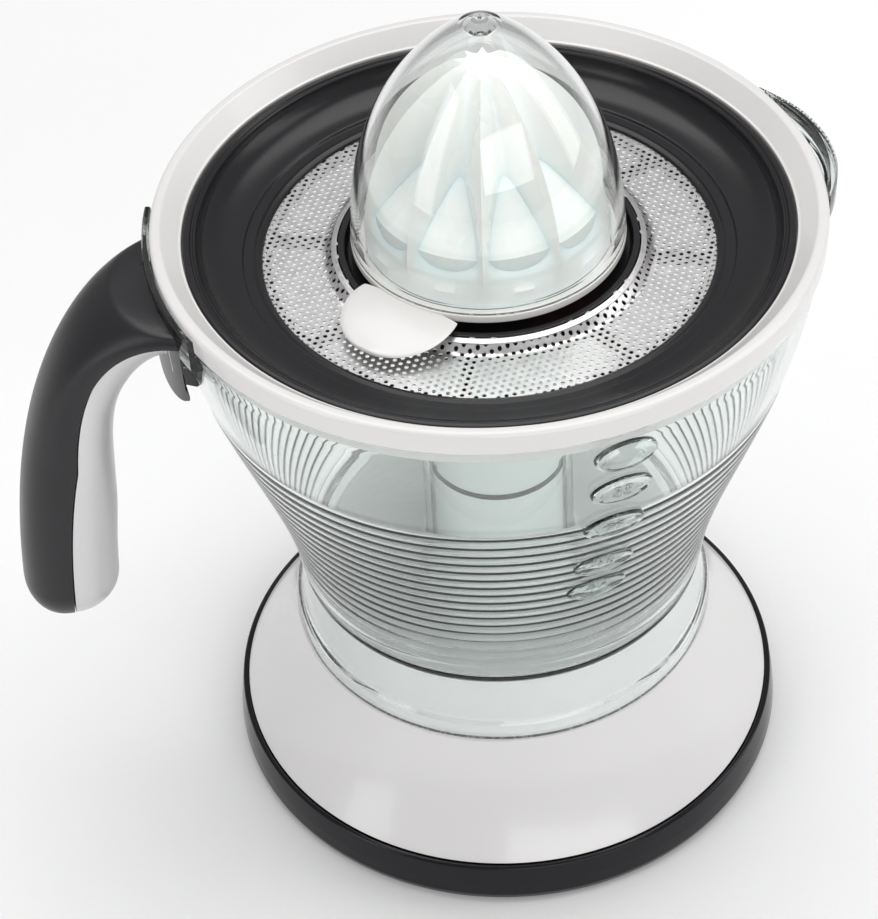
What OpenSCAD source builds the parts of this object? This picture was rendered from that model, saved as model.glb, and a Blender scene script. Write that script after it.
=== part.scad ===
// Electric citrus press: motor base, clear jug with chimney and hook handle,
// collector ring, filter bowl with steel screen, ribbed cone and clear cone cover.
// Millimetres, +Z up. Origin at the centre of the resting plane, handle along -X,
// spout along +X.

/* [Base] */
// Radius of the dark skirt at its widest
skirt_r = 76.3; // [70:0.1:92]
// Height of the dark skirt's top edge
skirt_h = 13.3; // [11:0.1:18]
// Step from the skirt's foot in to the white shell's foot
skirt_step = 3; // [2:0.1:5]
// Height of the shoulder that the jug stands on
shoulder_z = 44; // [40:0.5:56]
// Radius of the shoulder
shoulder_r = 57; // [54:0.5:62]
// Wall of the base mouldings
base_wall = 2.4; // [1.8:0.1:3]
// Height of the rubber feet below the base plate
foot_h = 1.5; // [1:0.1:3]
// Outer radius of the drive tower
tower_r = 17; // [15:0.5:20]

/* [Jug] */
// Depth of the jug from its floor to its rim
jug_depth = 108; // [95:1:140]
// Outer radius of the jug at its rim
rim_r = 79.3; // [76:0.1:96]
// Outer radius of the jug just above its floor
waist_r = 54.1; // [52:0.1:60]
// Wall of the clear jug
jug_wall = 2.2; // [1.8:0.1:3]
// Number of level ribs round the jug
jug_ribs = 17; // [8:1:20]
// Spacing of the level ribs
rib_pitch = 4.1; // [3.5:0.1:5]
// How far the ribs stand proud
rib_proud = 0.7; // [0.4:0.1:1]
// How far the spout reaches beyond the rim
spout_reach = 7.2; // [5:0.1:12]

/* [Handle] */
// Reach of the handle beyond the rim
handle_reach = 36; // [30:0.5:45]
// Drop of the handle from its root to its free end
handle_drop = 87; // [70:1:92]
// Width of the grip
grip_w = 23; // [18:0.5:27]
// Width of the handle at its root
root_w = 42; // [28:1:46]

/* [Collector and filter] */
// Width of the white ring's sloping face
ring_w = 7.5; // [6:0.1:10]
// Height of the white ring's outer band
ring_band_h = 5; // [4:0.1:8]
// Depth of the dish from its lip to the screen
dish_depth = 9; // [8:0.1:14]
// Outer radius of the steel screen
screen_r = 55.3; // [50:0.1:58]
// Thickness of the steel screen
screen_t = 0.5; // [0.4:0.1:0.8]
// Number of spokes under the screen
filter_spokes = 8; // [6:1:12]

/* [Cone] */
// Outer radius of the clear cone cover
cover_r = 33; // [30:0.1:36]
// Height of the clear cone cover
cover_h = 59.5; // [52:0.5:66]
// Wall of the clear cone cover
cover_wall = 1.6; // [1.2:0.1:2]
// Number of ribs on the pressing cone
cone_ribs = 10; // [6:2:16]
// Thickness of one rib of the cone
cone_rib_t = 1.6; // [1.2:0.1:2.4]
// Radius that the pulp paddle reaches
paddle_reach = 50; // [46:0.5:52]
// Height of the paddle ring's band
band_h = 2.2; // [2:0.1:3]

/* [Drive] */
// Radius of the drive shaft
shaft_r = 4; // [3.5:0.1:5]
// Downward travel of the cone and shaft that starts the motor
press_travel = 1.5; // [1:0.1:1.8]
// Gear module
gear_m = 0.8; // [0.7:0.05:0.85]
// Teeth of the motor pinion
pinion_n = 14; // [12:1:16]
// Teeth of the reduction gear's wheel
wheel_n = 35; // [30:1:36]
// Teeth of the drive gear
drive_n = 42; // [38:1:44]
// Face width of the drive gear
gear_w = 7; // [5:0.5:7.5]
// Radius of the rotor magnet
magnet_r = 9; // [8:0.1:10]
// Width of a leg of the stator core
leg_w = 8; // [6:0.5:8.5]
// Thickness of the stator core
core_t = 8; // [6:0.5:9]
// Build of the coil round its leg
coil_build = 3.2; // [2:0.1:3.4]

/* [Clearances] */
// Radial running clearance of a shaft in its bush
run_gap = 0.05; // [0.02:0.01:0.1]
// Gap between parts that slide or lift apart
slip_gap = 0.3; // [0.2:0.05:0.5]
// Gap between parts that only pass each other
free_gap = 1; // [0.6:0.1:1.4]

/* [Hidden] */
$fn = 96;
hull_fn = 32;
eps = 0.01;
steps = 14;

// Levels, from the floor up
plate_z = foot_h;
plate_t = 2.4;
shell_foot_r = skirt_r - skirt_step;

// Gearbox levels, and the plateau that closes the shell over them
tray_z = shoulder_z - 7;
tray_t = 2.2;
wheel_z = tray_z + tray_t + 0.6;
wheel_w = 5;
drive_gear_z = wheel_z + wheel_w + 1.2;
cover_plate_z = drive_gear_z + gear_w + 1;
cover_plate_t = 2;
cover_head_h = 1.2;
plateau_z = cover_plate_z + cover_plate_t + cover_head_h + 0.4 + base_wall;
jug_floor_z = plateau_z + 2.2;
floor_t = 2.4;
rim_z = jug_floor_z + jug_depth;
ring_top_z = rim_z + ring_band_h + 1.2;
ring_out_r = rim_r + 1.5;
lip_out_r = ring_out_r - ring_w;
lip_top_z = ring_top_z - 4.4;
ring_skirt_h = 5;
screen_z = lip_top_z - dish_depth;
seat_z = screen_z - screen_t;
crest_z = screen_z + 2.4;
crease_r = cover_r + 7;
collar_r = cover_r + 3.4;
hub_top_z = seat_z + 0.9;
cone_base_z = crest_z + 1.3;
band_top_z = cone_base_z + band_h;
cover_top_z = band_top_z + cover_h;

// Upstand of the base plate, and the level that its screws' heads seat at
screw_seat_z = 17.5;
upstand_r = shell_r(screw_seat_z + plate_t) - 2 * base_wall - 0.6;
cup_r = 5.6;
screw_circle_r = shoulder_r - 5;
screw_turns = [45, 135, 225, 315];
foot_circle_r = (upstand_r + base_wall + shell_foot_r) / 2;
foot_r = 3.6;
pad_r = 7;
gland_r = 4.6;
gland_z = plate_z + 6.5;
upstand_top_z = gland_z + gland_r + 2;
cord_hole_r = 3.3;

// Boss that the jug's foot drops over
jug_foot_r = shoulder_r - 0.4;
jug_neck_r = waist_r - 2;
boss_foot_r = jug_foot_r - jug_wall - free_gap;
boss_top_r = jug_neck_r - jug_wall - free_gap;

// Round of the spout, seen from above
spout_round = 36;

// Tower and chimney
tower_wall = 2.2;
chimney_in_r = tower_r + free_gap;
chimney_out_r = chimney_in_r + 2;
sleeve_in_r = chimney_out_r + free_gap;
sleeve_wall = 2;
chimney_top_z = seat_z - 11;
chimney_lip_t = 2;
sleeve_end_z = chimney_top_z - 6;
tower_top_z = chimney_top_z - chimney_lip_t - 4;
seal_h = 2;
bush_l = 12;
bush_wall = 3;
flange_h = 1.5;

// Gearbox plates and their posts
tray_r = boss_foot_r - base_wall - 5;
post_r = 3.6;
post_circle_r = tray_r - post_r - 2.5;
post_turns = [-38, 38, 114, -114];
gear_screw_r = 1.6;

// Motor, its long side square to the radius that it lies on
leg_gap = 2 * magnet_r + 2;
core_w = leg_gap + 2 * leg_w;
core_l = 62;
core_z = tray_z - coil_build - core_t - 1;
motor_x = -(core_w / 2 + shaft_r + coil_build + 0.8);
motor_y = core_l / 2 - leg_w - 2;
magnet_h = core_t + 2;
rotor_shaft_r = 2;
coil_l = 22;
coil_y = -core_l / 2 + leg_w + 2.5 + coil_l / 2;
bobbin_t = 1;

// Gear centres: the wheel lies where both of its meshes reach
mesh_rotor = gear_m * (pinion_n + wheel_n) / 2;
mesh_drive = gear_m * (pinion_n + drive_n) / 2;
rotor_far = norm([motor_x, motor_y]);
rotor_turn = atan2(motor_y, motor_x);
wheel_lead = acos((mesh_drive * mesh_drive + rotor_far * rotor_far - mesh_rotor * mesh_rotor)
    / (2 * mesh_drive * rotor_far));
wheel_turn = rotor_turn + wheel_lead;
wheel_x = mesh_drive * cos(wheel_turn);
wheel_y = mesh_drive * sin(wheel_turn);
to_rotor = atan2(motor_y - wheel_y, motor_x - wheel_x);
axle_r = 2;
hub_r = min(6.5, mesh_drive - gear_m * (wheel_n / 2 + 1) - 0.6);

// Shaft, coupling head and switch
hex_r = shaft_r / cos(30);
shaft_end_z = tray_z - 4;
hub_end_z = cover_plate_z + cover_plate_t + 1;
spring_z = hub_end_z;
spring_l = 16;
spring_wire_r = 0.6;
spring_r = shaft_r + 2;
spring_turns = 6;
clip_t = 1;
clip_z = spring_z + spring_l;
head_r = shaft_r + 3.2;
head_l = 15;
head_top_z = cone_base_z + 10;
stem_r = head_r + 1.9;
stem_end_z = cone_base_z - 9;
hub_bore_r = stem_r + run_gap + 2 + run_gap;
switch_top_z = shaft_end_z - press_travel - 2.5;
switch_l = 20;
switch_w = 10;
switch_h = 13;
plunger_r = 1.5;

// Handle curve, from its root at the rim to its free end, as x and z
grip_root = [rim_r + 1, rim_z - 7];
grip_knee = [rim_r + 24, rim_z - 7];
grip_swing = [rim_r + handle_reach - 2, rim_z - 8 - handle_drop * 0.54];
grip_end = [rim_r + handle_reach, rim_z - 8 - handle_drop];
bracket_turn = 18;
pad_turn = 11;
bracket_t = 3;
bracket_r = ring_out_r + slip_gap + 0.2 + bracket_t;
inlay_root_w = 28;
inlay_root_d = 6.5;
inlay_d = grip_w / 2 + 1;
parting_rise = 5;
handle_screw_r = 1.6;
handle_screw_y = 7;
handle_screw_z = rim_z - 9.5;
handle_screw_x = sqrt(pow(jug_r(handle_screw_z - 3) - jug_wall, 2) - pow(handle_screw_y + 3, 2));

// ---------------------------------------------------------------- shared shapes

// Ring between two radii
module ring(r_out, r_in, z, h) {
    translate([0, 0, z])
        difference() {
            cylinder(r = r_out, h = h);
            translate([0, 0, -1])
                cylinder(r = r_in, h = h + 2);
        }
}

// Children copied at each turn, at one radius
module around(turns, r) {
    for (a = turns)
        rotate(a)
            translate([r, 0, 0])
                children();
}

// Pan-head screw with its head's seat at z = 0, shank upward
module screw(head_r, head_h, shank_r, shank_l) {
    translate([0, 0, -head_h])
        difference() {
            cylinder(r1 = head_r * 0.8, r2 = head_r, h = head_h, $fn = 32);
            for (a = [0, 90])
                rotate(a)
                    translate([-head_r * 0.55, -0.35, -1])
                        cube([head_r * 1.1, 0.7, 1 + head_h * 0.5]);
        }
    translate([0, 0, -eps])
        cylinder(r = shank_r, h = shank_l + eps, $fn = 24);
}

// One tooth as an outline, its tip beyond the pitch circle
module tooth(m, pr) {
    root = pr - 1.2 * m;
    tip = pr + 0.85 * m;
    half = 0.68 * m;
    polygon([[root - 0.5, -half - 0.42 * m], [root, -half - 0.42 * m], [pr, -half],
        [tip, -half * 0.5], [tip, half * 0.5], [pr, half], [root, half + 0.42 * m],
        [root - 0.5, half + 0.42 * m]]);
}

// Spur gear with a tooth on the line at angle "first"
module spur(n, m, w, first) {
    pr = n * m / 2;
    linear_extrude(w)
        union() {
            circle(r = pr - 1.2 * m, $fn = 64);
            for (i = [0 : n - 1])
                rotate(first + i * 360 / n)
                    tooth(m, pr);
        }
}

// ---------------------------------------------------------------- base

// The shell's outer radius at a height: steep at the top, flaring to its foot
function shell_r(z) = let (t = (shoulder_z - z) / (shoulder_z - skirt_h))
    shoulder_r + (shell_foot_r - shoulder_r) * (0.45 * t + 0.55 * t * t);
function shell_z(i) = skirt_h + (shoulder_z - skirt_h) * i / steps;

module base_shell() {
    outside = [for (i = [0 : steps]) [shell_r(shell_z(i)), shell_z(i)]];
    inside = [for (i = [steps : -1 : 0])
        [shell_r(shell_z(i)) - base_wall, min(shell_z(i), shoulder_z - base_wall)]];
    color("#F2F0EE") {
        rotate_extrude()
            polygon(concat(outside,
                [[boss_foot_r, shoulder_z], [boss_top_r, plateau_z - 1.5],
                    [boss_top_r - 1.5, plateau_z], [tower_r, plateau_z],
                    [tower_r, plateau_z - base_wall],
                    [boss_top_r - base_wall - 0.6, plateau_z - base_wall],
                    [boss_foot_r - base_wall, shoulder_z - base_wall]], inside));
        // screw bosses, reaching down to the base plate
        difference() {
            around(screw_turns, screw_circle_r)
                translate([0, 0, screw_seat_z + plate_t])
                    cylinder(r = 3.6, h = shoulder_z - 1 - screw_seat_z - plate_t);
            around(screw_turns, screw_circle_r)
                translate([0, 0, screw_seat_z])
                    cylinder(r = 1.5, h = 15);
        }
    }
}

module drive_tower() {
    color("#ECEAE6")
        rotate_extrude()
            polygon([[tower_r, plateau_z - base_wall], [tower_r, plateau_z],
                [tower_r + 4, plateau_z], [tower_r + 4, plateau_z + flange_h],
                [tower_r, plateau_z + flange_h], [tower_r, tower_top_z - 4],
                [tower_r - 4, tower_top_z], [shaft_r + bush_wall, tower_top_z],
                [shaft_r + bush_wall, tower_top_z - bush_l],
                [shaft_r + bush_wall + 2, tower_top_z - bush_l],
                [shaft_r + bush_wall + 2, tower_top_z - 5],
                [tower_r - tower_wall, tower_top_z - 5],
                [tower_r - tower_wall, plateau_z - base_wall]]);
}

module base_skirt() {
    inner = shell_foot_r + 0.2;
    color("#15151A")
        difference() {
            rotate_extrude()
                polygon([[inner - base_wall, skirt_h - 3], [inner - base_wall, skirt_h],
                    [inner + 1.2, skirt_h], [skirt_r - 0.5, 7], [skirt_r, 3.4],
                    [skirt_r - 0.5, 1.9], [skirt_r - 1.8, 1], [inner - 0.6, 1],
                    [inner - 0.6, skirt_h - 3]]);
            translate([0, skirt_r, gland_z])
                rotate([90, 0, 0])
                    cylinder(r = gland_r, h = 12, center = true);
        }
}

module base_plate() {
    top_z = plate_z + plate_t;
    vents = 6;
    vent_l = 34;
    color("#2B2B2F")
        difference() {
            union() {
                rotate_extrude()
                    polygon([[0, plate_z], [shell_foot_r - 0.6, plate_z], [shell_foot_r - 0.6, top_z],
                        [upstand_r + base_wall, top_z], [upstand_r + base_wall, upstand_top_z],
                        [upstand_r, upstand_top_z], [upstand_r, top_z], [0, top_z]]);
                // cups that hold the screws' heads up inside
                around(screw_turns, screw_circle_r)
                    translate([0, 0, plate_z + 1])
                        cylinder(r = cup_r, h = screw_seat_z + plate_t - plate_z - 1);
                around(post_turns, post_circle_r)
                    translate([0, 0, plate_z + 1])
                        cylinder(r = post_r, h = tray_z - plate_z - 1);
                // pedestal of the switch
                translate([2, -4, plate_z + 1])
                    cube([13, 8, switch_top_z - switch_h - plate_z - 1]);
            }
            around(screw_turns, screw_circle_r) {
                translate([0, 0, plate_z - 1])
                    cylinder(r = cup_r - 1.6, h = screw_seat_z - plate_z + 1);
                translate([0, 0, screw_seat_z - 1])
                    cylinder(r = 1.8, h = plate_t + 2);
            }
            around(post_turns, post_circle_r)
                translate([0, 0, tray_z - 8])
                    cylinder(r = gear_screw_r, h = 9);
            // slots that let the motor's warm air out
            for (i = [0 : vents - 1])
                translate([motor_x - 15 + i * 5, -vent_l / 2, plate_z - 1])
                    cube([2.2, vent_l, plate_t + 2]);
            // the gland's way out, and room for its flange inside the upstand
            translate([0, upstand_r - 6, gland_z])
                rotate([-90, 0, 0]) {
                    cylinder(r = gland_r, h = 22);
                    cylinder(r = gland_r + 1.4, h = 6);
                }
            around([for (a = [0 : 90 : 270]) a + 45], foot_circle_r)
                translate([0, 0, plate_z - 1])
                    cylinder(r = foot_r - 1.6, h = plate_t + 2);
        }
}

module rubber_feet() {
    color("#333338")
        around([for (a = [0 : 90 : 270]) a + 45], foot_circle_r) {
            cylinder(r1 = foot_r - 0.4, r2 = foot_r, h = plate_z);
            cylinder(r = foot_r - 1.6, h = plate_z + plate_t);
        }
    // pad under the middle, where the hand bears down
    color("#333338")
        cylinder(r = pad_r, h = plate_z);
}

module base_screws() {
    color("#A9ABAF")
        around(screw_turns, screw_circle_r)
            translate([0, 0, screw_seat_z])
                screw(3.2, 1.8, 1.5, 14);
}

module cable_gland() {
    y_in = upstand_r - 3;
    y_out = skirt_r + 1;
    color("#1C1C20")
        translate([0, y_out, gland_z])
            rotate([90, 0, 0])
                difference() {
                    union() {
                        cylinder(r = gland_r, h = y_out - y_in);
                        cylinder(r = gland_r + 1.4, h = 1);
                        translate([0, 0, y_out - upstand_r + 0.6])
                            cylinder(r = gland_r + 1.2, h = 1.5);
                    }
                    translate([0, 0, -1])
                        cylinder(r = cord_hole_r, h = y_out - y_in + 2);
                }
}

module gearbox_tray() {
    pad_x = (leg_gap + leg_w) / 2;
    pad_z = core_z + core_t;
    color("#D9D7D2")
        difference() {
            union() {
                translate([0, 0, tray_z])
                    cylinder(r = tray_r, h = tray_t);
                around(post_turns, post_circle_r)
                    translate([0, 0, tray_z])
                        cylinder(r = post_r, h = cover_plate_z - tray_z);
                // pads that carry the stator core
                for (x = [-pad_x, pad_x], y = [-core_l / 2 + leg_w / 2, core_l / 2 - 3.2])
                    translate([motor_x + x, y, pad_z])
                        cylinder(r = 2.8, h = tray_z - pad_z + 1);
            }
            translate([0, 0, tray_z - 1])
                cylinder(r = hub_r + 2, h = tray_t + 2);
            translate([motor_x, motor_y, tray_z - 1])
                cylinder(r = rotor_shaft_r + 2.5, h = tray_t + 2);
            translate([wheel_x, wheel_y, tray_z])
                cylinder(r = axle_r, h = tray_t + 1);
            around(post_turns, post_circle_r)
                translate([0, 0, tray_z - 1])
                    cylinder(r = gear_screw_r, h = cover_plate_z - tray_z + 2);
        }
}

module gearbox_cover() {
    color("#D9D7D2")
        difference() {
            translate([0, 0, cover_plate_z])
                cylinder(r = tray_r - 1, h = cover_plate_t);
            translate([0, 0, cover_plate_z - 1])
                cylinder(r = hub_r + 2, h = cover_plate_t + 2);
            translate([wheel_x, wheel_y, cover_plate_z - 1])
                cylinder(r = axle_r, h = cover_plate_t + 2);
            around(post_turns, post_circle_r)
                translate([0, 0, cover_plate_z - 1])
                    cylinder(r = gear_screw_r, h = cover_plate_t + 2);
        }
}

module gearbox_screws() {
    color("#A9ABAF")
        around(post_turns, post_circle_r)
            translate([0, 0, cover_plate_z + cover_plate_t])
                mirror([0, 0, 1])
                    screw(2.8, cover_head_h, gear_screw_r,
                        cover_plate_z + cover_plate_t - tray_z + 6);
}

module stator_core() {
    color("#6F6A66")
        translate([motor_x, 0, core_z])
            linear_extrude(core_t)
                difference() {
                    translate([-core_w / 2, -core_l / 2])
                        square([core_w, core_l]);
                    translate([-leg_gap / 2 + 3, -core_l / 2 + leg_w])
                        square([leg_gap - 6, core_l]);
                    translate([-leg_gap / 2, -core_l / 2 + leg_w])
                        square([leg_gap, coil_l + 5]);
                    translate([0, motor_y])
                        circle(r = magnet_r + 0.8);
                }
}

// Hollow square sleeve round one leg: outer growth, inner growth, end to end length
module leg_sleeve(out, in, l) {
    translate([0, coil_y, core_z + core_t / 2])
        rotate([90, 0, 0])
            linear_extrude(l, center = true)
                difference() {
                    square([leg_w + 2 * out, core_t + 2 * out], center = true);
                    square([leg_w + 2 * in, core_t + 2 * in], center = true);
                }
}

module coil_bobbins() {
    color("#E8E2CF")
        for (side = [-1, 1])
            translate([motor_x + side * (leg_gap + leg_w) / 2, 0, 0]) {
                leg_sleeve(bobbin_t, 0.1, coil_l);
                for (e = [-1, 1])
                    translate([0, e * (coil_l - 1) / 2, 0])
                        leg_sleeve(coil_build, 0.1, 1);
            }
}

module coil_windings() {
    color("#B5683A")
        for (side = [-1, 1])
            translate([motor_x + side * (leg_gap + leg_w) / 2, 0, 0])
                leg_sleeve(coil_build - 0.3, bobbin_t, coil_l - 2);
}

module rotor_bracket() {
    pad_x = (leg_gap + leg_w) / 2;
    bracket_z = core_z - 4.5;
    color("#8E9094")
        difference() {
            union() {
                translate([motor_x - core_w / 2, motor_y - 6, bracket_z])
                    cube([core_w, 12, 1.5]);
                for (x = [-pad_x, pad_x])
                    translate([motor_x + x, motor_y, bracket_z])
                        cylinder(r = 3, h = core_z - bracket_z);
            }
            translate([motor_x, motor_y, bracket_z - 1])
                cylinder(r = rotor_shaft_r + 2.5, h = 4);
        }
}

module rotor_bearings() {
    bracket_z = core_z - 4.5;
    color("#B08A4A")
        for (z = [bracket_z, tray_z])
            translate([motor_x, motor_y, 0])
                ring(rotor_shaft_r + 2.5, rotor_shaft_r + run_gap, z,
                    z == tray_z ? tray_t : 1.5);
}

module wheel_axle() {
    color("#B9BCC0")
        translate([wheel_x, wheel_y, tray_z])
            cylinder(r = axle_r, h = cover_plate_z + cover_plate_t - tray_z, $fn = 48);
}

module gear_bushes() {
    color("#B08A4A") {
        ring(hub_r + 2, hub_r + run_gap, tray_z, tray_t);
        ring(hub_r + 2, hub_r + run_gap, cover_plate_z, cover_plate_t);
    }
}

module shaft_bush() {
    color("#B08A4A")
        ring(shaft_r + bush_wall, shaft_r + run_gap, tower_top_z - bush_l, bush_l);
}

module tower_seal() {
    color("#3A3A3E")
        rotate_extrude()
            polygon([[shaft_r + 0.3, tower_top_z], [shaft_r + bush_wall + 3, tower_top_z],
                [shaft_r + bush_wall + 3, tower_top_z + 0.8], [shaft_r + 1.2, tower_top_z + seal_h],
                [shaft_r + 0.3, tower_top_z + seal_h]]);
}

module microswitch() {
    color("#3C3F46")
        difference() {
            translate([-3.2, -switch_w / 2, switch_top_z - switch_h])
                cube([switch_l, switch_w, switch_h]);
            translate([0, 0, switch_top_z - 6])
                cylinder(r = plunger_r + 0.2, h = 7, $fn = 32);
            for (x = [2.5, 13])
                translate([x, 0, switch_top_z - 8])
                    rotate([90, 0, 0])
                        cylinder(r = 1.2, h = switch_w + 2, center = true, $fn = 24);
        }
}

module terminal_block() {
    color("#DDDBD4")
        difference() {
            translate([22, -10, plate_z + plate_t])
                cube([12, 20, 9]);
            for (y = [-6, 0, 6]) {
                translate([28, y, plate_z + plate_t + 4])
                    cylinder(r = 1.6, h = 8, $fn = 24);
                translate([28, y, plate_z + plate_t + 4])
                    rotate([0, 90, 0])
                        cylinder(r = 1.4, h = 20, center = true, $fn = 24);
            }
        }
}

// ---------------------------------------------------------------- turning parts

module rotor_magnet() {
    color("#4A4A4E")
        translate([motor_x, motor_y, 0])
            ring(magnet_r, rotor_shaft_r, core_z - 1, magnet_h);
}

module rotor_shaft() {
    color("#C4C7CB")
        translate([motor_x, motor_y, core_z - 4.5])
            cylinder(r = rotor_shaft_r, h = wheel_z + wheel_w - core_z + 4.5, $fn = 48);
}

module motor_pinion() {
    color("#E9E4D6")
        translate([motor_x, motor_y, wheel_z - 0.3])
            difference() {
                spur(pinion_n, gear_m, wheel_w + 0.6, to_rotor + 180 + 180 / pinion_n);
                translate([0, 0, -1])
                    cylinder(r = rotor_shaft_r, h = wheel_w + 3, $fn = 48);
            }
}

module reduction_gear() {
    pinion_l = drive_gear_z + gear_w + 0.6 - wheel_z - wheel_w;
    color("#E9E4D6")
        translate([wheel_x, wheel_y, wheel_z])
            difference() {
                union() {
                    spur(wheel_n, gear_m, wheel_w, to_rotor);
                    translate([0, 0, wheel_w - eps])
                        spur(pinion_n, gear_m, pinion_l, wheel_turn + 180);
                }
                translate([0, 0, -1])
                    cylinder(r = axle_r + run_gap, h = wheel_w + pinion_l + 3, $fn = 48);
                for (a = [0 : 60 : 300])
                    rotate(a)
                        translate([gear_m * wheel_n * 0.34, 0, -1])
                            cylinder(r = 1.6, h = wheel_w + 2, $fn = 24);
            }
}

module drive_gear() {
    color("#E9E4D6")
        difference() {
            union() {
                translate([0, 0, drive_gear_z])
                    spur(drive_n, gear_m, gear_w, wheel_turn + 180 / drive_n);
                translate([0, 0, tray_z - 1])
                    cylinder(r = hub_r, h = hub_end_z - tray_z + 1);
            }
            translate([0, 0, tray_z - 2])
                cylinder(r = hex_r + run_gap, h = hub_end_z - tray_z + 4, $fn = 6);
            for (a = [0 : 60 : 300])
                rotate(a)
                    translate([(hub_r + gear_m * drive_n / 2) / 2, 0, drive_gear_z - 1])
                        cylinder(r = 2, h = gear_w + 2, $fn = 24);
        }
}

module drive_shaft() {
    color("#D8DADD")
        difference() {
            union() {
                translate([0, 0, shaft_end_z])
                    cylinder(r = hex_r, h = spring_z + 2 - shaft_end_z, $fn = 6);
                translate([0, 0, shaft_end_z + 1])
                    cylinder(r = shaft_r, h = head_top_z - 1 - shaft_end_z - 1);
            }
            ring(shaft_r + 2, shaft_r - 0.6, clip_z, clip_t);
        }
}

module drive_head() {
    color("#F0EEEA")
        translate([0, 0, head_top_z - head_l])
            difference() {
                cylinder(r = head_r, h = head_l, $fn = 6);
                translate([0, 0, -1])
                    cylinder(r = shaft_r, h = head_l);
            }
}

module retaining_ring() {
    color("#9C9EA2")
        ring(spring_r + 1.4, shaft_r - 0.6, clip_z, clip_t);
}

// Points of one ring of the spring's wire
function coil_ring(t, sides) = let (a = 360 * spring_turns * t,
        z = spring_wire_r + (spring_l - 2 * spring_wire_r) * t)
    [for (k = [0 : sides - 1]) let (b = 360 * k / sides)
        [(spring_r + spring_wire_r * cos(b)) * cos(a),
            (spring_r + spring_wire_r * cos(b)) * sin(a), z + spring_wire_r * sin(b)]];

// Closed tube through a list of equal rings of points
module tube(rings) {
    n = len(rings);
    s = len(rings[0]);
    points = [for (r = rings) for (p = r) p];
    sides = [for (i = [0 : n - 2]) for (k = [0 : s - 1])
        [i * s + k, (i + 1) * s + k, (i + 1) * s + (k + 1) % s, i * s + (k + 1) % s]];
    first = [for (k = [0 : s - 1]) k];
    last = [for (k = [s - 1 : -1 : 0]) (n - 1) * s + k];
    polyhedron(points, concat(sides, [first, last]));
}

module return_spring() {
    rings = spring_turns * 16;
    color("#B9BCC0")
        translate([0, 0, spring_z])
            tube([for (i = [0 : rings]) coil_ring(i / rings, 8)]);
}

module switch_plunger() {
    color("#C23B33")
        translate([0, 0, switch_top_z - 2.2])
            cylinder(r = plunger_r, h = shaft_end_z - 0.2 - switch_top_z + 2.2, $fn = 32);
}

// ---------------------------------------------------------------- jug and handle

// The jug's outer radius at a height between its floor and its rim
function jug_t(z) = max(0, min(1, (z - jug_floor_z - 2) / (jug_depth - 5)));
function jug_r(z) = let (t = jug_t(z))
    waist_r + (rim_r - waist_r) * (0.25 * t + 0.75 * t * t * (3 - 2 * t));

module jug_body() {
    rib_z = jug_floor_z + 5;
    rib_w = rib_pitch * 0.62;
    ribs = [for (i = [0 : jug_ribs - 1]) for (k = [0 : 3])
        let (z = rib_z + i * rib_pitch + rib_w * [0, 0.3, 0.7, 1][k])
        [jug_r(z) + rib_proud * [0, 1, 1, 0][k], z]];
    smooth_z = rib_z + jug_ribs * rib_pitch;
    upper = [for (i = [0 : 6]) let (z = smooth_z + (rim_z - 4 - smooth_z) * i / 6) [jug_r(z), z]];
    inner_z = jug_floor_z + floor_t;
    inside = [for (i = [steps : -1 : 0]) let (z = inner_z + (rim_z - inner_z) * i / steps)
        [jug_r(z) - jug_wall, z]];
    rotate_extrude()
        polygon(concat(
            [[jug_foot_r - jug_wall, shoulder_z], [jug_foot_r, shoulder_z],
                [jug_foot_r - 0.4, shoulder_z + 5], [jug_foot_r - 1.4, shoulder_z + 6],
                [jug_neck_r, jug_floor_z], [waist_r, jug_floor_z + 2]],
            ribs, upper,
            [[rim_r + 0.7, rim_z - 2], [rim_r + 0.7, rim_z]],
            inside,
            [[chimney_out_r, inner_z], [chimney_out_r, jug_floor_z],
                [jug_neck_r - jug_wall, jug_floor_z]]));
}

// Chimney in the jug's floor: moulded in one with it, and kept as a solid of its own
module jug_chimney() {
    lid_z = chimney_top_z - chimney_lip_t;
    color("#C5D3CF")
        rotate_extrude()
            polygon([[chimney_in_r, jug_floor_z], [chimney_out_r, jug_floor_z],
                [chimney_out_r, chimney_top_z], [stem_r, chimney_top_z], [stem_r, lid_z],
                [chimney_in_r, lid_z]]);
}

// Block that flares from the jug's wall to the spout's tip; "in" shrinks it
module spout_block(in) {
    low_z = rim_z - 26;
    lip_z = rim_z - 3;
    end_z = ring_top_z + (in > 0 ? 3 : -1);
    hull() {
        translate([rim_r + spout_reach - spout_round, 0, lip_z])
            cylinder(r = spout_round - in, h = end_z - lip_z);
        translate([jug_r(low_z) - 9, 0, low_z])
            cylinder(r = 8 - in, h = 1, $fn = hull_fn);
    }
}

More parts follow.
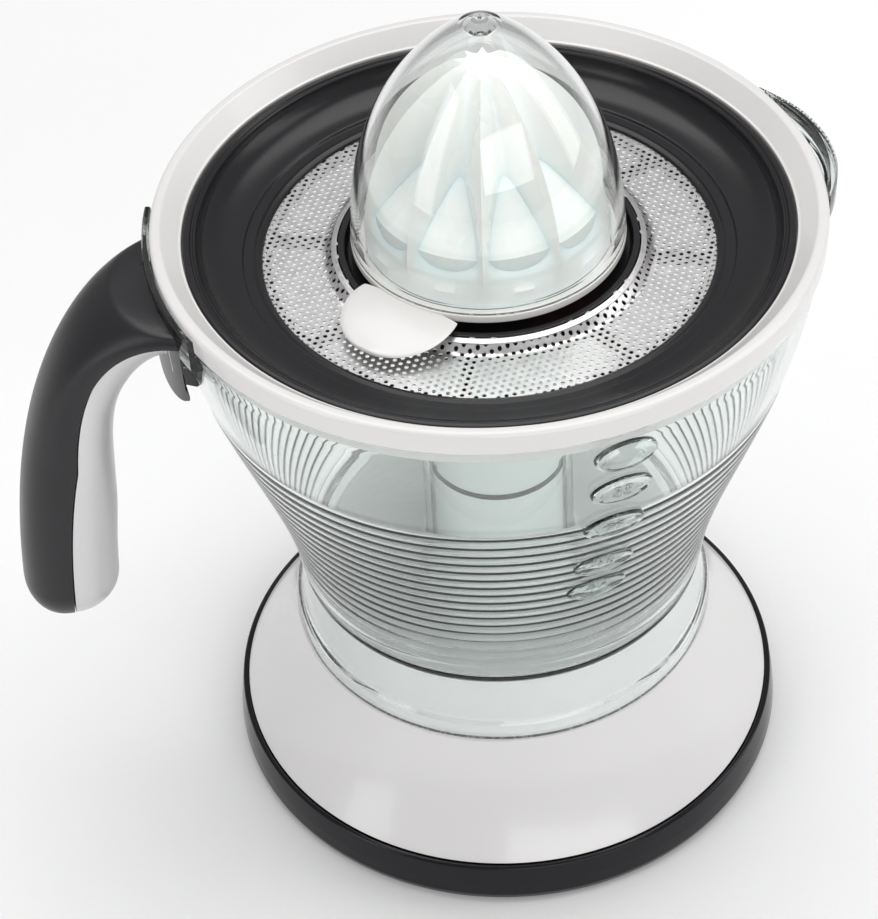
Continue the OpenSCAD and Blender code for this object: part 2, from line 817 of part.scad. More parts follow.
module jug() {
    wall_r = bracket_r - bracket_t;
    color("#C5D3CF")
        difference() {
            union() {
                jug_body();
                difference() {
                    spout_block(0);
                    cylinder(r = rim_r - 1, h = rim_z + 10);
                    translate([0, 0, rim_z])
                        cylinder(r = ring_out_r + slip_gap, h = 10);
                }
                // bracket that hugs the ring and carries the handle
                rotate(180 - bracket_turn)
                    rotate_extrude(angle = 2 * bracket_turn)
                        polygon([[rim_r - 1.2, rim_z - 7], [bracket_r, rim_z - 4],
                            [bracket_r, ring_top_z - 1], [wall_r, ring_top_z - 1],
                            [wall_r, rim_z], [rim_r - 0.5, rim_z]]);
                // thicker pad under it, behind the handle's screws
                rotate(180 - pad_turn)
                    rotate_extrude(angle = 2 * pad_turn)
                        polygon([[rim_r - 1.5, rim_z - 19], [bracket_r, rim_z - 15],
                            [bracket_r, rim_z - 2], [rim_r - 0.5, rim_z - 2],
                            [rim_r - 1.5, rim_z - 8]]);
            }
            difference() {
                spout_block(jug_wall);
                translate([0, 0, -1])
                    cylinder(r = rim_r - 14, h = rim_z + 10);
            }
            handle_screw_holes(rim_r - 10, 30);
        }
}

// Holes along X for the two handle screws, from x = -start outwards
module handle_screw_holes(start, l) {
    for (y = [-handle_screw_y, handle_screw_y])
        translate([-start, y, handle_screw_z])
            rotate([0, -90, 0])
                cylinder(r = handle_screw_r, h = l, $fn = 32);
}

// Handle curve: a cubic between the root and the free end
function blend4(a, b, c, d, t) = a * pow(1 - t, 3) + 3 * b * t * pow(1 - t, 2)
    + 3 * c * t * t * (1 - t) + d * pow(t, 3);
function grip_at(t) = blend4(grip_root, grip_knee, grip_swing, grip_end, t);
function grip_dir(t) = let (d = grip_at(min(1, t + 0.01)) - grip_at(max(0, t - 0.01)))
    d / norm(d);
// The end rounds off over the last part of the curve
function end_round(t) = let (u = max(0, (t - 0.9) / 0.1)) sqrt(max(0.02, 1 - u * u));
function grip_half_w(t, spread) = (grip_w + spread * pow(max(0, 1 - t / 0.38), 1.5)) / 2
    * end_round(t);
function grip_eased(u) = let (v = max(0, min(1, u))) v * v * (3 - 2 * v);
// Depth of the outer half, of the inner half and of the parting face, from the centreline
function grip_out_d(t) = (grip_w + 0.5) / 2 * end_round(t);
function grip_in_d(t) = (inlay_root_d + (inlay_d - inlay_root_d) * grip_eased((t - 0.3) / 0.45))
    * end_round(t);
function grip_part(t) = (0.4 + parting_rise * max(0, 1 - pow(t / 0.55, 2))) * end_round(t);

// Half of the grip's section: side 1 faces out, side -1 faces the jug
function grip_ring(t, side, sides) = let (c = grip_at(t), d = grip_dir(t),
        n = side * [-d[1], d[0]], part = grip_part(t),
        w = grip_half_w(t, side > 0 ? root_w - grip_w : inlay_root_w - grip_w))
    [for (k = [0 : sides]) let (a = 180 * k / sides,
            y = w * cos(a) * side * (1 - 0.02),
            o = side > 0 ? max(part + 0.2, part + (grip_out_d(t) - part) * sin(a))
                : (grip_in_d(t) + part) * sin(a) - part)
        [-(c[0] + n[0] * o), y, c[1] + n[1] * o]];

module grip_half(side) {
    rings = 26;
    difference() {
        tube([for (i = [0 : rings]) grip_ring(i / rings, side, 14)]);
        // seat against the bracket
        cylinder(r = bracket_r, h = ring_top_z + 20);
        handle_screw_holes(rim_r - 10, handle_screw_x + 14 - rim_r + 10);
    }
}

module handle_grip() {
    color("#2A282B")
        grip_half(1);
}

module handle_inlay() {
    color("#C9CBCE")
        grip_half(-1);
}

module handle_screws() {
    color("#A9ABAF")
        for (y = [-handle_screw_y, handle_screw_y])
            translate([-handle_screw_x, y, handle_screw_z])
                rotate([0, -90, 0])
                    screw(2.8, 1.6, handle_screw_r, 14);
}

// ---------------------------------------------------------------- collector and filter

module collector_ring() {
    skirt_z = rim_z - ring_skirt_h;
    skirt_out = jug_r(skirt_z) - jug_wall - slip_gap;
    skirt_in = skirt_out - 1.8;
    ledge_r = lip_out_r - 2.4;
    ledge_z = lip_top_z - 2.2;
    color("#F0EDEA")
        rotate_extrude()
            polygon([[ring_out_r - 0.6, ring_top_z], [ring_out_r - 1.6, ring_top_z],
                [lip_out_r + 0.3, lip_top_z + 0.3], [lip_out_r + 0.3, ledge_z],
                [ledge_r, ledge_z], [ledge_r, ledge_z - 1.8], [skirt_in, ledge_z - 1.8],
                [skirt_in, skirt_z], [skirt_out, skirt_z], [skirt_out, rim_z],
                [ring_out_r - 0.6, rim_z], [ring_out_r, rim_z + 0.8],
                [ring_out_r, ring_top_z - 0.6]]);
}

module filter_bowl() {
    ledge_z = lip_top_z - 2.2;
    wall_r = lip_out_r - 2.7;
    step_r = screen_r + 4.5;
    floor_z = seat_z - 2.2;
    color("#2A282B")
        difference() {
            union() {
                // dish, from its lip down to the screen's seat
                rotate_extrude()
                    polygon([[lip_out_r, ledge_z], [lip_out_r, lip_top_z - 0.4],
                        [lip_out_r - 0.6, lip_top_z], [wall_r - 0.3, lip_top_z],
                        [wall_r - 1, lip_top_z - 1.2], [wall_r - 1.9, screen_z + 5],
                        [wall_r - 4.2, screen_z + 2.6], [step_r, screen_z + 1.2],
                        [step_r - 0.4, screen_z + 0.5], [screen_r + 0.2, screen_z],
                        [screen_r + 0.2, seat_z], [screen_r - 2.4, seat_z],
                        [screen_r - 2.4, floor_z], [step_r + 1, floor_z],
                        [wall_r - 3.4, screen_z + 0.4], [wall_r, screen_z + 4.2],
                        [wall_r, ledge_z]]);
                // hub with its collar, stem tube and chimney sleeve
                rotate_extrude()
                    polygon([[hub_bore_r, stem_end_z + 0.5], [hub_bore_r + 2, stem_end_z + 0.5],
                        [hub_bore_r + 2, floor_z], [sleeve_in_r, floor_z],
                        [sleeve_in_r, sleeve_end_z], [sleeve_in_r + sleeve_wall, sleeve_end_z],
                        [sleeve_in_r + sleeve_wall, floor_z], [crease_r - 0.4, floor_z],
                        [crease_r - 0.4, seat_z], [collar_r + 0.2, crest_z - screen_t - 0.5],
                        [collar_r, crest_z + 0.2], [collar_r - 1.6, crest_z + 0.2],
                        [collar_r - 2, hub_top_z], [hub_bore_r, hub_top_z]]);
                for (i = [0 : filter_spokes - 1])
                    rotate((i + 0.5) * 360 / filter_spokes)
                        translate([crease_r - 2, -1.25, floor_z])
                            cube([screen_r - crease_r, 2.5, seat_z - floor_z]);
            }
        }
}

module filter_screen() {
    color("#C6C7C9")
        rotate_extrude()
            polygon([[crease_r, seat_z], [screen_r, seat_z], [screen_r, screen_z],
                [crease_r - 0.1, screen_z], [collar_r + 0.35, crest_z],
                [collar_r + 0.35, crest_z - screen_t]]);
}

// ---------------------------------------------------------------- cone

module cone_bush() {
    color("#B9BCC0")
        rotate_extrude()
            polygon([[stem_r + run_gap, stem_end_z], [hub_bore_r - run_gap, stem_end_z],
                [hub_bore_r - run_gap, cone_base_z - 1.2], [hub_bore_r + 2.4, cone_base_z - 1.2],
                [hub_bore_r + 2.4, cone_base_z], [stem_r + run_gap, cone_base_z]]);
}

module paddle_ring() {
    paddle_turn = -141;
    tab_r = 14;
    color("#F0EEEC") {
        rotate_extrude()
            polygon([[cover_r - 3.4, cone_base_z], [cover_r + 0.2, cone_base_z],
                [cover_r + 0.2, band_top_z], [cover_r - 3.4, band_top_z]]);
        ring(hub_bore_r + 3, stem_r + slip_gap, cone_base_z, band_h - 0.4);
        for (i = [0 : 3])
            rotate(i * 90)
                translate([stem_r + 2, -2, cone_base_z])
                    cube([cover_r - 3 - stem_r - 2, 4, band_h - 0.4]);
        // paddle: a visor that steps down from the band and slopes to the screen
        intersection() {
            rotate(paddle_turn - 30)
                rotate_extrude(angle = 60)
                    polygon([[cover_r - 1, cone_base_z + 0.6], [collar_r + 1.5, cone_base_z + 0.6],
                        [paddle_reach, cone_base_z - 1.4], [paddle_reach + 1, cone_base_z - 0.4],
                        [paddle_reach - 1, cone_base_z + 0.2],
                        [collar_r + 2, band_top_z - 0.1], [cover_r - 1, band_top_z - 0.1]]);
            rotate(paddle_turn)
                translate([paddle_reach - tab_r, 0, cone_base_z - 3])
                    cylinder(r = tab_r, h = 9);
        }
    }
}

// Pointed arch between a base radius and an apex, over a height, with a rounded tip
function arch_r(r, h, z) = let (k = (r * r + h * h) / (2 * r), y = max(0, min(h, z)))
    sqrt(max(0, k * k - y * y)) - (k - r);

module press_cone() {
    foot_z = band_top_z;
    foot_r = cover_r - cover_wall - 1.8;
    straight = 6;
    cone_h = cover_h - 9 - straight;
    tip_drop = 3.5;
    core = [for (i = [0 : steps]) let (z = (cone_h - 6) * i / steps)
        [arch_r(foot_r, cone_h, z) * 0.9 - 0.6, foot_z + straight + z]];
    fin = [for (i = [0 : steps]) let (z = (cone_h - tip_drop) * i / steps)
        [arch_r(foot_r, cone_h, z), foot_z + straight + z]];
    color("#ECEFE9")
        difference() {
            union() {
                rotate_extrude()
                    polygon(concat([[0, foot_z], [foot_r, foot_z], [foot_r, foot_z + straight - 2]],
                        core, [[0, foot_z + straight + cone_h - 4]]));
                for (i = [0 : cone_ribs - 1])
                    rotate(i * 360 / cone_ribs)
                        rotate([90, 0, 0])
                            linear_extrude(cone_rib_t, center = true)
                                polygon(concat([[0, foot_z + 1], [foot_r - 0.2, foot_z + 1]],
                                    fin, [[0, foot_z + straight + cone_h - tip_drop + 0.5]]));
                translate([0, 0, stem_end_z])
                    cylinder(r = stem_r, h = foot_z - stem_end_z + 2);
            }
            // hollow under the cone, round the stem
            rotate_extrude()
                polygon(concat([[stem_r + 1.5, foot_z - 1], [foot_r - 1.8, foot_z - 1]],
                    [for (i = [0 : 8]) let (z = (cone_h - 14) * i / 8 * 0.8)
                        [max(stem_r + 1.6, arch_r(foot_r, cone_h, z) * 0.9 - 3), foot_z + 3 + z]],
                    [[stem_r + 1.5, foot_z + 3 + (cone_h - 14) * 0.8]]));
            translate([0, 0, stem_end_z - 1])
                cylinder(r = head_r + 0.15, h = head_top_z + 1.5 - stem_end_z, $fn = 6);
        }
}

module cone_cover() {
    foot_z = band_top_z;
    straight = 4;
    arch_h = cover_h - straight;
    tip_r = 2.2;
    // the outline stops at the tip's flat, which a small nub closes
    top_step = 22;
    outside = [for (i = [0 : top_step]) let (z = (arch_h - 1.6) * sin(90 * i / top_step))
        [max(tip_r, arch_r(cover_r - 0.3, arch_h + 1.6, z)), foot_z + straight + z]];
    inside = [for (i = [top_step : -1 : 0]) let (z = (arch_h - 1.6) * sin(90 * i / top_step))
        [max(0, arch_r(cover_r - 0.3, arch_h + 1.6, z) - cover_wall),
            foot_z + straight + z - cover_wall * i / top_step]];
    color("#DCE3E2")
        rotate_extrude()
            polygon(concat([[cover_r - cover_wall, foot_z], [cover_r + 0.2, foot_z],
                [cover_r, foot_z + 3.6]], outside,
                [[tip_r - 0.6, cover_top_z], [0, cover_top_z],
                    [0, cover_top_z - 1.6 - cover_wall]],
                inside));
}

base_shell();
drive_tower();
base_skirt();
base_plate();
rubber_feet();
base_screws();
cable_gland();
gearbox_tray();
gearbox_cover();
gearbox_screws();
stator_core();
coil_bobbins();
coil_windings();
rotor_bracket();
rotor_bearings();
wheel_axle();
gear_bushes();
shaft_bush();
tower_seal();
microswitch();
terminal_block();
rotor_magnet();
rotor_shaft();
motor_pinion();
reduction_gear();
drive_gear();
drive_shaft();
drive_head();
retaining_ring();
return_spring();
switch_plunger();
jug();
jug_chimney();
handle_grip();
handle_inlay();
handle_screws();
collector_ring();
filter_bowl();
filter_screen();
cone_bush();
paddle_ring();
press_cone();
cone_cover();
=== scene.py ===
# Electric citrus press: motor base, clear jug with a hook handle, collector ring,
# filter bowl with a steel screen, and a fluted cone under a clear cover.
import math

import bmesh
import bpy
from mathutils import Matrix, Vector


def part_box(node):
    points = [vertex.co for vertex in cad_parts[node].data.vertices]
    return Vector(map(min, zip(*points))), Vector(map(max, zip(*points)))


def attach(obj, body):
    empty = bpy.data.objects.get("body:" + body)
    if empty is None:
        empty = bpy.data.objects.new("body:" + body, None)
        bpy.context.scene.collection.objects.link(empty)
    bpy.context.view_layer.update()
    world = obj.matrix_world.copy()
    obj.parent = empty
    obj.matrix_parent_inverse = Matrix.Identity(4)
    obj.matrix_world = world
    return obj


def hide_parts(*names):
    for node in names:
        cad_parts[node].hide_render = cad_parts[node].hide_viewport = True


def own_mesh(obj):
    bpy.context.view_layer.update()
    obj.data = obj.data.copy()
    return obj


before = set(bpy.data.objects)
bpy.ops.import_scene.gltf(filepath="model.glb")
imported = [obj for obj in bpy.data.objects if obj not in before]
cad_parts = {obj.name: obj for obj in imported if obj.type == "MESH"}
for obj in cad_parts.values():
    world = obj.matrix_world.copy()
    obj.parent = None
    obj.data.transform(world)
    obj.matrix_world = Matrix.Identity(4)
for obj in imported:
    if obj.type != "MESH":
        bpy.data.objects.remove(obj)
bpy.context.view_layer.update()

# ------------------------------------------------------------------ studio
# A plain pale floor, one broad softbox overhead, an upright one on either side and a
# large soft fill in front.
# The camera looks down on the press from in front, a little to the handle's side.
scene = bpy.context.scene
scene.view_settings.view_transform = "Standard"

camera = bpy.data.objects.new("camera", bpy.data.cameras.new("camera"))
camera.location = (-0.1161, -0.43328, 0.52772)
camera.rotation_euler = [math.radians(turn) for turn in (45.755, 2.655, -15.62)]
camera.data.lens = 93.236
camera.data.clip_start = 0.01
scene.collection.objects.link(camera)
scene.camera = camera


def softbox(name, place, aim, width, height, power):
    """A rectangular lamp that stands at a place and faces a point."""
    lamp = bpy.data.lights.new(name, "AREA")
    lamp.shape = "RECTANGLE"
    lamp.size = width
    lamp.size_y = height
    lamp.energy = power
    stand = bpy.data.objects.new(name, lamp)
    stand.location = place
    facing = Vector(aim) - Vector(place)
    stand.rotation_euler = facing.to_track_quat("-Z", "Y").to_euler()
    stand.visible_camera = False
    scene.collection.objects.link(stand)


middle = (0, 0, 0.1)
softbox("overhead", (0.1, 0.35, 1.5), middle, 1.5, 1.2, 13.5)
softbox("left_bank", (-0.95, -0.35, 0.55), middle, 0.35, 1.0, 2)
softbox("right_bank", (1.0, -0.2, 0.6), middle, 0.4, 1.0, 2.4)
softbox("front_fill", (0.2, -1.7, 0.9), middle, 1.6, 0.8, 10)

scene.world = bpy.data.worlds.new("studio")
scene.world.use_nodes = True
backdrop = scene.world.node_tree.nodes["Background"]
backdrop.inputs["Color"].default_value = (1, 1, 1, 1)
backdrop.inputs["Strength"].default_value = 0.41


class Flow:
    """One output of a node; arithmetic on it adds Math nodes."""

    def __init__(self, tree, socket):
        self.tree = tree
        self.socket = socket

    def out(self, name):
        """Another output of the same node."""
        return Flow(self.tree, self.socket.node.outputs[name])

    def __add__(self, other):
        return self.tree.math("ADD", self, other)

    def __sub__(self, other):
        return self.tree.math("SUBTRACT", self, other)

    def __rsub__(self, other):
        return self.tree.math("SUBTRACT", other, self)

    def __mul__(self, other):
        return self.tree.math("MULTIPLY", self, other)

    def __truediv__(self, other):
        return self.tree.math("DIVIDE", self, other)

    def __mod__(self, other):
        return self.tree.math("FLOORED_MODULO", self, other)

    def __gt__(self, other):
        return self.tree.math("GREATER_THAN", self, other)

    def __lt__(self, other):
        return self.tree.math("LESS_THAN", self, other)

    __radd__ = __add__
    __rmul__ = __mul__


class Tree:
    """A node tree that is built one node at a time."""

    def __init__(self, nodes):
        self.nodes = nodes

    def feed(self, socket, value):
        if isinstance(value, Flow):
            self.nodes.links.new(value.socket, socket)
        elif hasattr(value, "__len__") and socket.type == "RGBA":
            socket.default_value = (*value[:3], 1)
        else:
            socket.default_value = value

    def node(self, kind, settings=None, sockets=None):
        """A node of a type, with its settings and what its sockets hold."""
        made = self.nodes.nodes.new(kind)
        for name, value in (settings or {}).items():
            setattr(made, name, value)
        for name, value in (sockets or {}).items():
            self.feed(made.inputs[name], value)
        return Flow(self, made.outputs[0]) if made.outputs else None

    def math(self, operation, *terms):
        return self.node("ShaderNodeMath", {"operation": operation}, dict(enumerate(terms)))


class Finish(Tree):
    """A surface finish on one Principled shader, in object coordinates."""

    def __init__(self, name, roughness, **constants):
        self.material = bpy.data.materials.new(name)
        self.material.use_nodes = True
        super().__init__(self.material.node_tree)
        self.nodes.nodes.clear()
        self.place = self.node("ShaderNodeTexCoord").out("Object")
        fixed = {name.replace("_", " "): value for name, value in constants.items()}
        self.shader = self.node("ShaderNodeBsdfPrincipled", {}, {"Roughness": roughness, **fixed})
        self.end = self.nodes.nodes.new("ShaderNodeOutputMaterial")
        self.feed(self.end.inputs["Surface"], self.shader)

    def set(self, socket, value):
        self.feed(self.shader.socket.node.inputs[socket], value)

    def stretched(self, along):
        """Object coordinates, each axis scaled by its own amount."""
        scaled = {0: self.place, 1: along}
        return self.node("ShaderNodeVectorMath", {"operation": "MULTIPLY"}, scaled)

    def noise(self, scale, detail=2, along=(1, 1, 1)):
        sockets = {"Vector": self.stretched(along), "Scale": scale, "Detail": detail}
        return self.node("ShaderNodeTexNoise", {}, sockets)

    def mix(self, amount, first, second):
        sockets = {0: amount, 6: first, 7: second}
        blended = self.node("ShaderNodeMix", {"data_type": "RGBA"}, sockets)
        return Flow(self, blended.socket.node.outputs[2])

    def bump(self, height, depth):
        """Relief on the surface, its full depth in metres."""
        relief = self.node("ShaderNodeBump", {}, {"Distance": depth, "Height": height})
        self.set("Normal", relief)

    def level(self):
        """Height above the floor, in metres."""
        return self.node("ShaderNodeSeparateXYZ", {}, {0: self.place}).out("Z")


floor_finish = Finish("floor_paper", 0.6, Specular_IOR_Level=0.2)
fibres = floor_finish.noise(900, 4)
floor_finish.set("Base Color", floor_finish.mix(fibres, (0.93, 0.93, 0.93), (0.955, 0.955, 0.955)))
floor_finish.bump(fibres, 0.00002)

FLOOR_HALF = 3
paper = bmesh.new()
bmesh.ops.create_grid(paper, x_segments=1, y_segments=1, size=FLOOR_HALF)
floor_mesh = bpy.data.meshes.new("floor")
paper.to_mesh(floor_mesh)
floor_mesh.materials.append(floor_finish.material)
floor = bpy.data.objects.new("floor", floor_mesh)
scene.collection.objects.link(floor)

# ------------------------------------------------------------------ base shell
# The white housing of the motor base: one moulding in glossy white plastic, flaring from
# the shoulder that the jug stands on to its foot. Four bosses inside take the screws.
MM = 0.001
AROUND = 192


def extent(node):
    """Outer radius, lowest level and highest level of a round piece, in millimetres."""
    low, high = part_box(node)
    return high.y / MM, low.z / MM, high.z / MM


def rounded(corners, steps=6):
    """A closed outline from corners (radius, level, fillet), each fillet an arc."""
    outline = []
    for i, (r, z, fillet) in enumerate(corners):
        here = Vector((r, z))
        if not fillet:
            outline.append((r, z))
            continue
        back = Vector(corners[i - 1][:2]) - here
        ahead = Vector(corners[(i + 1) % len(corners)][:2]) - here
        half = back.angle(ahead) / 2
        reach = min(fillet / math.tan(half), 0.48 * back.length, 0.48 * ahead.length)
        size = reach * math.tan(half)
        inward = (back.normalized() + ahead.normalized()).normalized()
        centre = here + inward * size / math.sin(half)
        first = here + back.normalized() * reach - centre
        last = here + ahead.normalized() * reach - centre
        sweep = first.angle(last)
        for k in range(steps + 1):
            t = k / steps
            spoke = first * math.sin((1 - t) * sweep) + last * math.sin(t * sweep)
            outline.append(tuple(centre + spoke / math.sin(sweep)))
    return outline


def plain(points):
    """Corners without fillets, from points (radius, level)."""
    return [(r, z, 0) for r, z in points]


def revolve(outline, segments=AROUND, shift=None):
    """Closed solid of revolution about the upright axis, as a bmesh in metres."""
    solid = bmesh.new()
    rings = []
    for i in range(segments):
        turn = math.tau * i / segments
        ring = []
        for r, z in outline:
            out = r + (shift(turn, r, z) if shift else 0)
            ring.append(solid.verts.new((out * math.cos(turn), out * math.sin(turn), z)))
        rings.append(ring)
    count = len(outline)
    for here, there in zip(rings, rings[1:] + rings[:1]):
        for k in range(count):
            n = (k + 1) % count
            solid.faces.new((here[k], there[k], there[n], here[n]))
    bmesh.ops.scale(solid, vec=(MM, MM, MM), verts=solid.verts)
    return close_up(solid)


def close_up(solid):
    """Merges doubled points and turns every face outwards."""
    bmesh.ops.remove_doubles(solid, verts=solid.verts, dist=1e-6)
    bmesh.ops.recalc_face_normals(solid, faces=solid.faces)
    return solid


def merge(solids):
    """Several bmeshes as one."""
    whole = bmesh.new()
    for solid in solids:
        carried = bpy.data.meshes.new("carried")
        solid.to_mesh(carried)
        whole.from_mesh(carried)
        bpy.data.meshes.remove(carried)
    return whole


def piece(name, solid, finish, body, stands_for=(), crease=38):
    """Makes a bmesh a finished piece that rides on a body."""
    mesh = bpy.data.meshes.new(name)
    solid.to_mesh(mesh)
    mesh.shade_smooth()
    mesh.set_sharp_from_angle(angle=math.radians(crease))
    mesh.materials.append(finish.material)
    made = bpy.data.objects.new(name, mesh)
    scene.collection.objects.link(made)
    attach(made, body)
    if stands_for:
        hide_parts(*stands_for)
    return made


def moulded(name, dark, light, roughness, depth=0.00001, **constants):
    """Moulded plastic: faint flow marks in its colour, handling in its gloss."""
    finish = Finish(name, roughness, **constants)
    drift = finish.noise(14, 3, (1, 1, 0.5))
    finish.set("Base Color", finish.mix(drift, dark, light))
    finish.set("Roughness", roughness * (0.8 + 0.4 * finish.noise(45, 4)))
    finish.bump(finish.noise(1300, 2), depth)
    return finish


def turned_at(places, outline, segments=32):
    """The same small turned solid at each place (x, y), in millimetres."""
    solids = []
    for x, y in places:
        solid = revolve(outline, segments)
        bmesh.ops.translate(solid, vec=(x * MM, y * MM, 0), verts=solid.verts)
        solids.append(solid)
    return solids


def circle_of(count, radius, first=0):
    """Places (x, y) at equal turns on a circle."""
    turns = [math.radians(first + 360 * i / count) for i in range(count)]
    return [(radius * math.cos(turn), radius * math.sin(turn)) for turn in turns]


shell_foot_r, shell_foot_z, plateau_z = extent("base_shell")
shoulder_z = extent("jug")[1]
shoulder_r = 57
shell_wall = 2.4
boss_foot_r = 53.4
boss_top_r = 48.9
tower_r = 17


def shell_r(z):
    """The shell's outer radius: steep under the shoulder, flaring to the foot."""
    t = (shoulder_z - z) / (shoulder_z - shell_foot_z)
    return shoulder_r + (shell_foot_r - shoulder_r) * (0.45 * t + 0.55 * t * t)


flare = [shell_foot_z + (shoulder_z - shell_foot_z) * i / 28 for i in range(29)]
shell_outline = rounded(
    plain([(shell_r(z), z) for z in flare[:-1]])
    + [(shoulder_r, shoulder_z, 0.9), (boss_foot_r, shoulder_z, 0.8)]
    + [(boss_top_r, plateau_z, 1.6), (tower_r, plateau_z, 0)]
    + [(tower_r, plateau_z - shell_wall, 0), (boss_top_r - 3, plateau_z - shell_wall, 0)]
    + [(boss_foot_r - shell_wall, shoulder_z - shell_wall, 0)]
    + plain([(shell_r(z) - shell_wall, min(z, shoulder_z - shell_wall)) for z in flare[::-1]])
)
white_shell = moulded(
    "white_gloss", (0.74, 0.727, 0.727), (0.77, 0.757, 0.757), 0.22,
    Coat_Weight=0.3, Coat_Roughness=0.08,
)
screw_circle_r = shoulder_r - 5
post_r = 3.6
post_bore_r = 1.5
post_low = 20
post_high = 43
post_outline = [(post_r, post_low), (post_r, post_high), (post_bore_r, post_high)]
post_outline += [(post_bore_r, post_low)]
shell_posts = turned_at(circle_of(4, screw_circle_r, 45), post_outline)
piece(
    "shell_body", merge([revolve(shell_outline), *shell_posts]), white_shell,
    "base", ["base_shell"],
)

# ------------------------------------------------------------------ skirt
# The dark band under the shell: a separate ring in glossy near-black plastic, clipped over
# the shell's foot. Its lower edge rolls under. The notch at the back that holds the gland is left out
# of this ring.
skirt_r, skirt_low, skirt_high = extent("base_skirt")
skirt_in = shell_foot_r + 0.2
skirt_outline = rounded(
    [(skirt_in - 2.4, skirt_high - 3, 0), (skirt_in - 2.4, skirt_high - 0.4, 0)]
    + [(skirt_in - 0.1, skirt_high - 0.4, 0), (skirt_in + 0.5, skirt_high, 0.3)]
    + [(skirt_in + 1.5, skirt_high - 0.4, 0.7), (skirt_r - 0.4, 7, 4), (skirt_r, 3.4, 1.6)]
    + [(skirt_r - 0.7, skirt_low, 1.1), (skirt_in - 0.6, skirt_low, 0.2)]
    + [(skirt_in - 0.6, skirt_high - 3, 0)]
)
dark_gloss = moulded(
    "dark_gloss", (0.004, 0.004, 0.006), (0.006, 0.006, 0.009), 0.14, Specular_IOR_Level=0.3
)
piece("skirt_band", revolve(skirt_outline), dark_gloss, "base", ["base_skirt"])


# ------------------------------------------------------------------ works and underside
# What the CAD already shapes exactly: plate, feet, screws, gearbox, motor, switch, shaft
# and spring. Each keeps its own mesh and takes the finish of its stuff.
def dress(finish, *nodes):
    """Puts a finish on CAD nodes."""
    for node in nodes:
        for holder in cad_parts[node].material_slots:
            holder.material = finish.material


def drawn_steel(name, dark, light, roughness):
    """Plated or drawn steel: fine lines along its length."""
    finish = Finish(name, roughness, Metallic=1.0)
    lines = finish.noise(700, 3, (1, 1, 0.06))
    finish.set("Base Color", finish.mix(lines, dark, light))
    finish.set("Roughness", roughness * (0.7 + 0.6 * lines))
    finish.bump(lines, 0.00001)
    return finish


zinc = drawn_steel("zinc_plated", (0.5, 0.52, 0.55), (0.68, 0.69, 0.7), 0.3)
bronze = drawn_steel("oiled_bronze", (0.42, 0.27, 0.12), (0.55, 0.38, 0.18), 0.38)
plate_plastic = moulded(
    "plate_plastic", (0.02, 0.02, 0.023), (0.03, 0.03, 0.034), 0.5, 0.00006
)
frame_plastic = moulded("frame_plastic", (0.62, 0.6, 0.55), (0.7, 0.68, 0.63), 0.45, 0.00004)
gear_plastic = moulded("gear_plastic", (0.74, 0.7, 0.6), (0.82, 0.79, 0.7), 0.32)
red_plastic = moulded("red_plastic", (0.5, 0.03, 0.02), (0.58, 0.05, 0.04), 0.35)
tower_white = moulded("tower_white", (0.84, 0.85, 0.84), (0.89, 0.9, 0.89), 0.3)
rubber = moulded(
    "rubber", (0.025, 0.025, 0.027), (0.045, 0.045, 0.05), 0.75, 0.0001, Specular_IOR_Level=0.3
)
ferrite = moulded("ferrite", (0.03, 0.03, 0.032), (0.06, 0.06, 0.062), 0.6, 0.00008)

SHEET = 0.0005
laminated = Finish("laminated_steel", 0.5, Metallic=0.8)
seam = (laminated.level() / SHEET) % 1 < 0.22
laminated.set("Base Color", laminated.mix(seam, (0.3, 0.28, 0.27), (0.1, 0.09, 0.085)))
laminated.bump(1 - seam, 0.00005)

WIRE = 0.00045
copper = Finish("enamelled_copper", 0.28, Metallic=0.9, Coat_Weight=0.5)
along_leg = copper.node("ShaderNodeSeparateXYZ", {}, {0: copper.place}).out("Y")
turn_of_wire = (along_leg / WIRE) % 1
# Painted shade and painted highlight: each turn of wire is coloured darker where it meets the next turn
# and lighter on its crown. The same profile also raises the bump.
wire_crown_and_shade = 4 * turn_of_wire * (1 - turn_of_wire)
copper.set("Base Color", copper.mix(wire_crown_and_shade, (0.22, 0.06, 0.02), (0.72, 0.3, 0.13)))
copper.bump(wire_crown_and_shade, 0.0001)

dress(plate_plastic, "base_plate", "microswitch")
dress(rubber, "rubber_feet", "cable_gland", "tower_seal")
dress(zinc, "base_screws", "gearbox_screws", "wheel_axle", "rotor_shaft", "rotor_bracket")
dress(zinc, "drive_shaft", "retaining_ring", "handle_screws")
dress(bronze, "rotor_bearings", "gear_bushes", "shaft_bush")
dress(frame_plastic, "gearbox_tray", "gearbox_cover", "coil_bobbins", "terminal_block")
dress(gear_plastic, "motor_pinion", "reduction_gear", "drive_gear", "drive_head", "cone_bush")
dress(red_plastic, "switch_plunger")
dress(tower_white, "drive_tower")

# A thin seal round the tower, seen through the chimney as a dark line.
joint_r = tower_r + 0.4
joint_low = 94.2
joint_high = 95.5
tower_joint = plain([(tower_r, joint_low), (joint_r, joint_low)])
tower_joint += plain([(joint_r, joint_high), (tower_r, joint_high)])
piece("tower_joint", revolve(rounded(tower_joint), 96), rubber, "base", ())
dress(ferrite, "rotor_magnet")

# The spring stands on the drive gear and rides with the drive. In the press it shortens as the shaft is
# pressed down;
# here it is a fixed copy of the CAD coil that does not.
coil = bmesh.new()
coil.from_mesh(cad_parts["return_spring"].data)
bmesh.ops.remove_doubles(coil, verts=coil.verts, dist=1e-6)
spring = piece("spring_coil", coil, zinc, "drive", ["return_spring"])
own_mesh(spring)
dress(laminated, "stator_core")
dress(copper, "coil_windings")

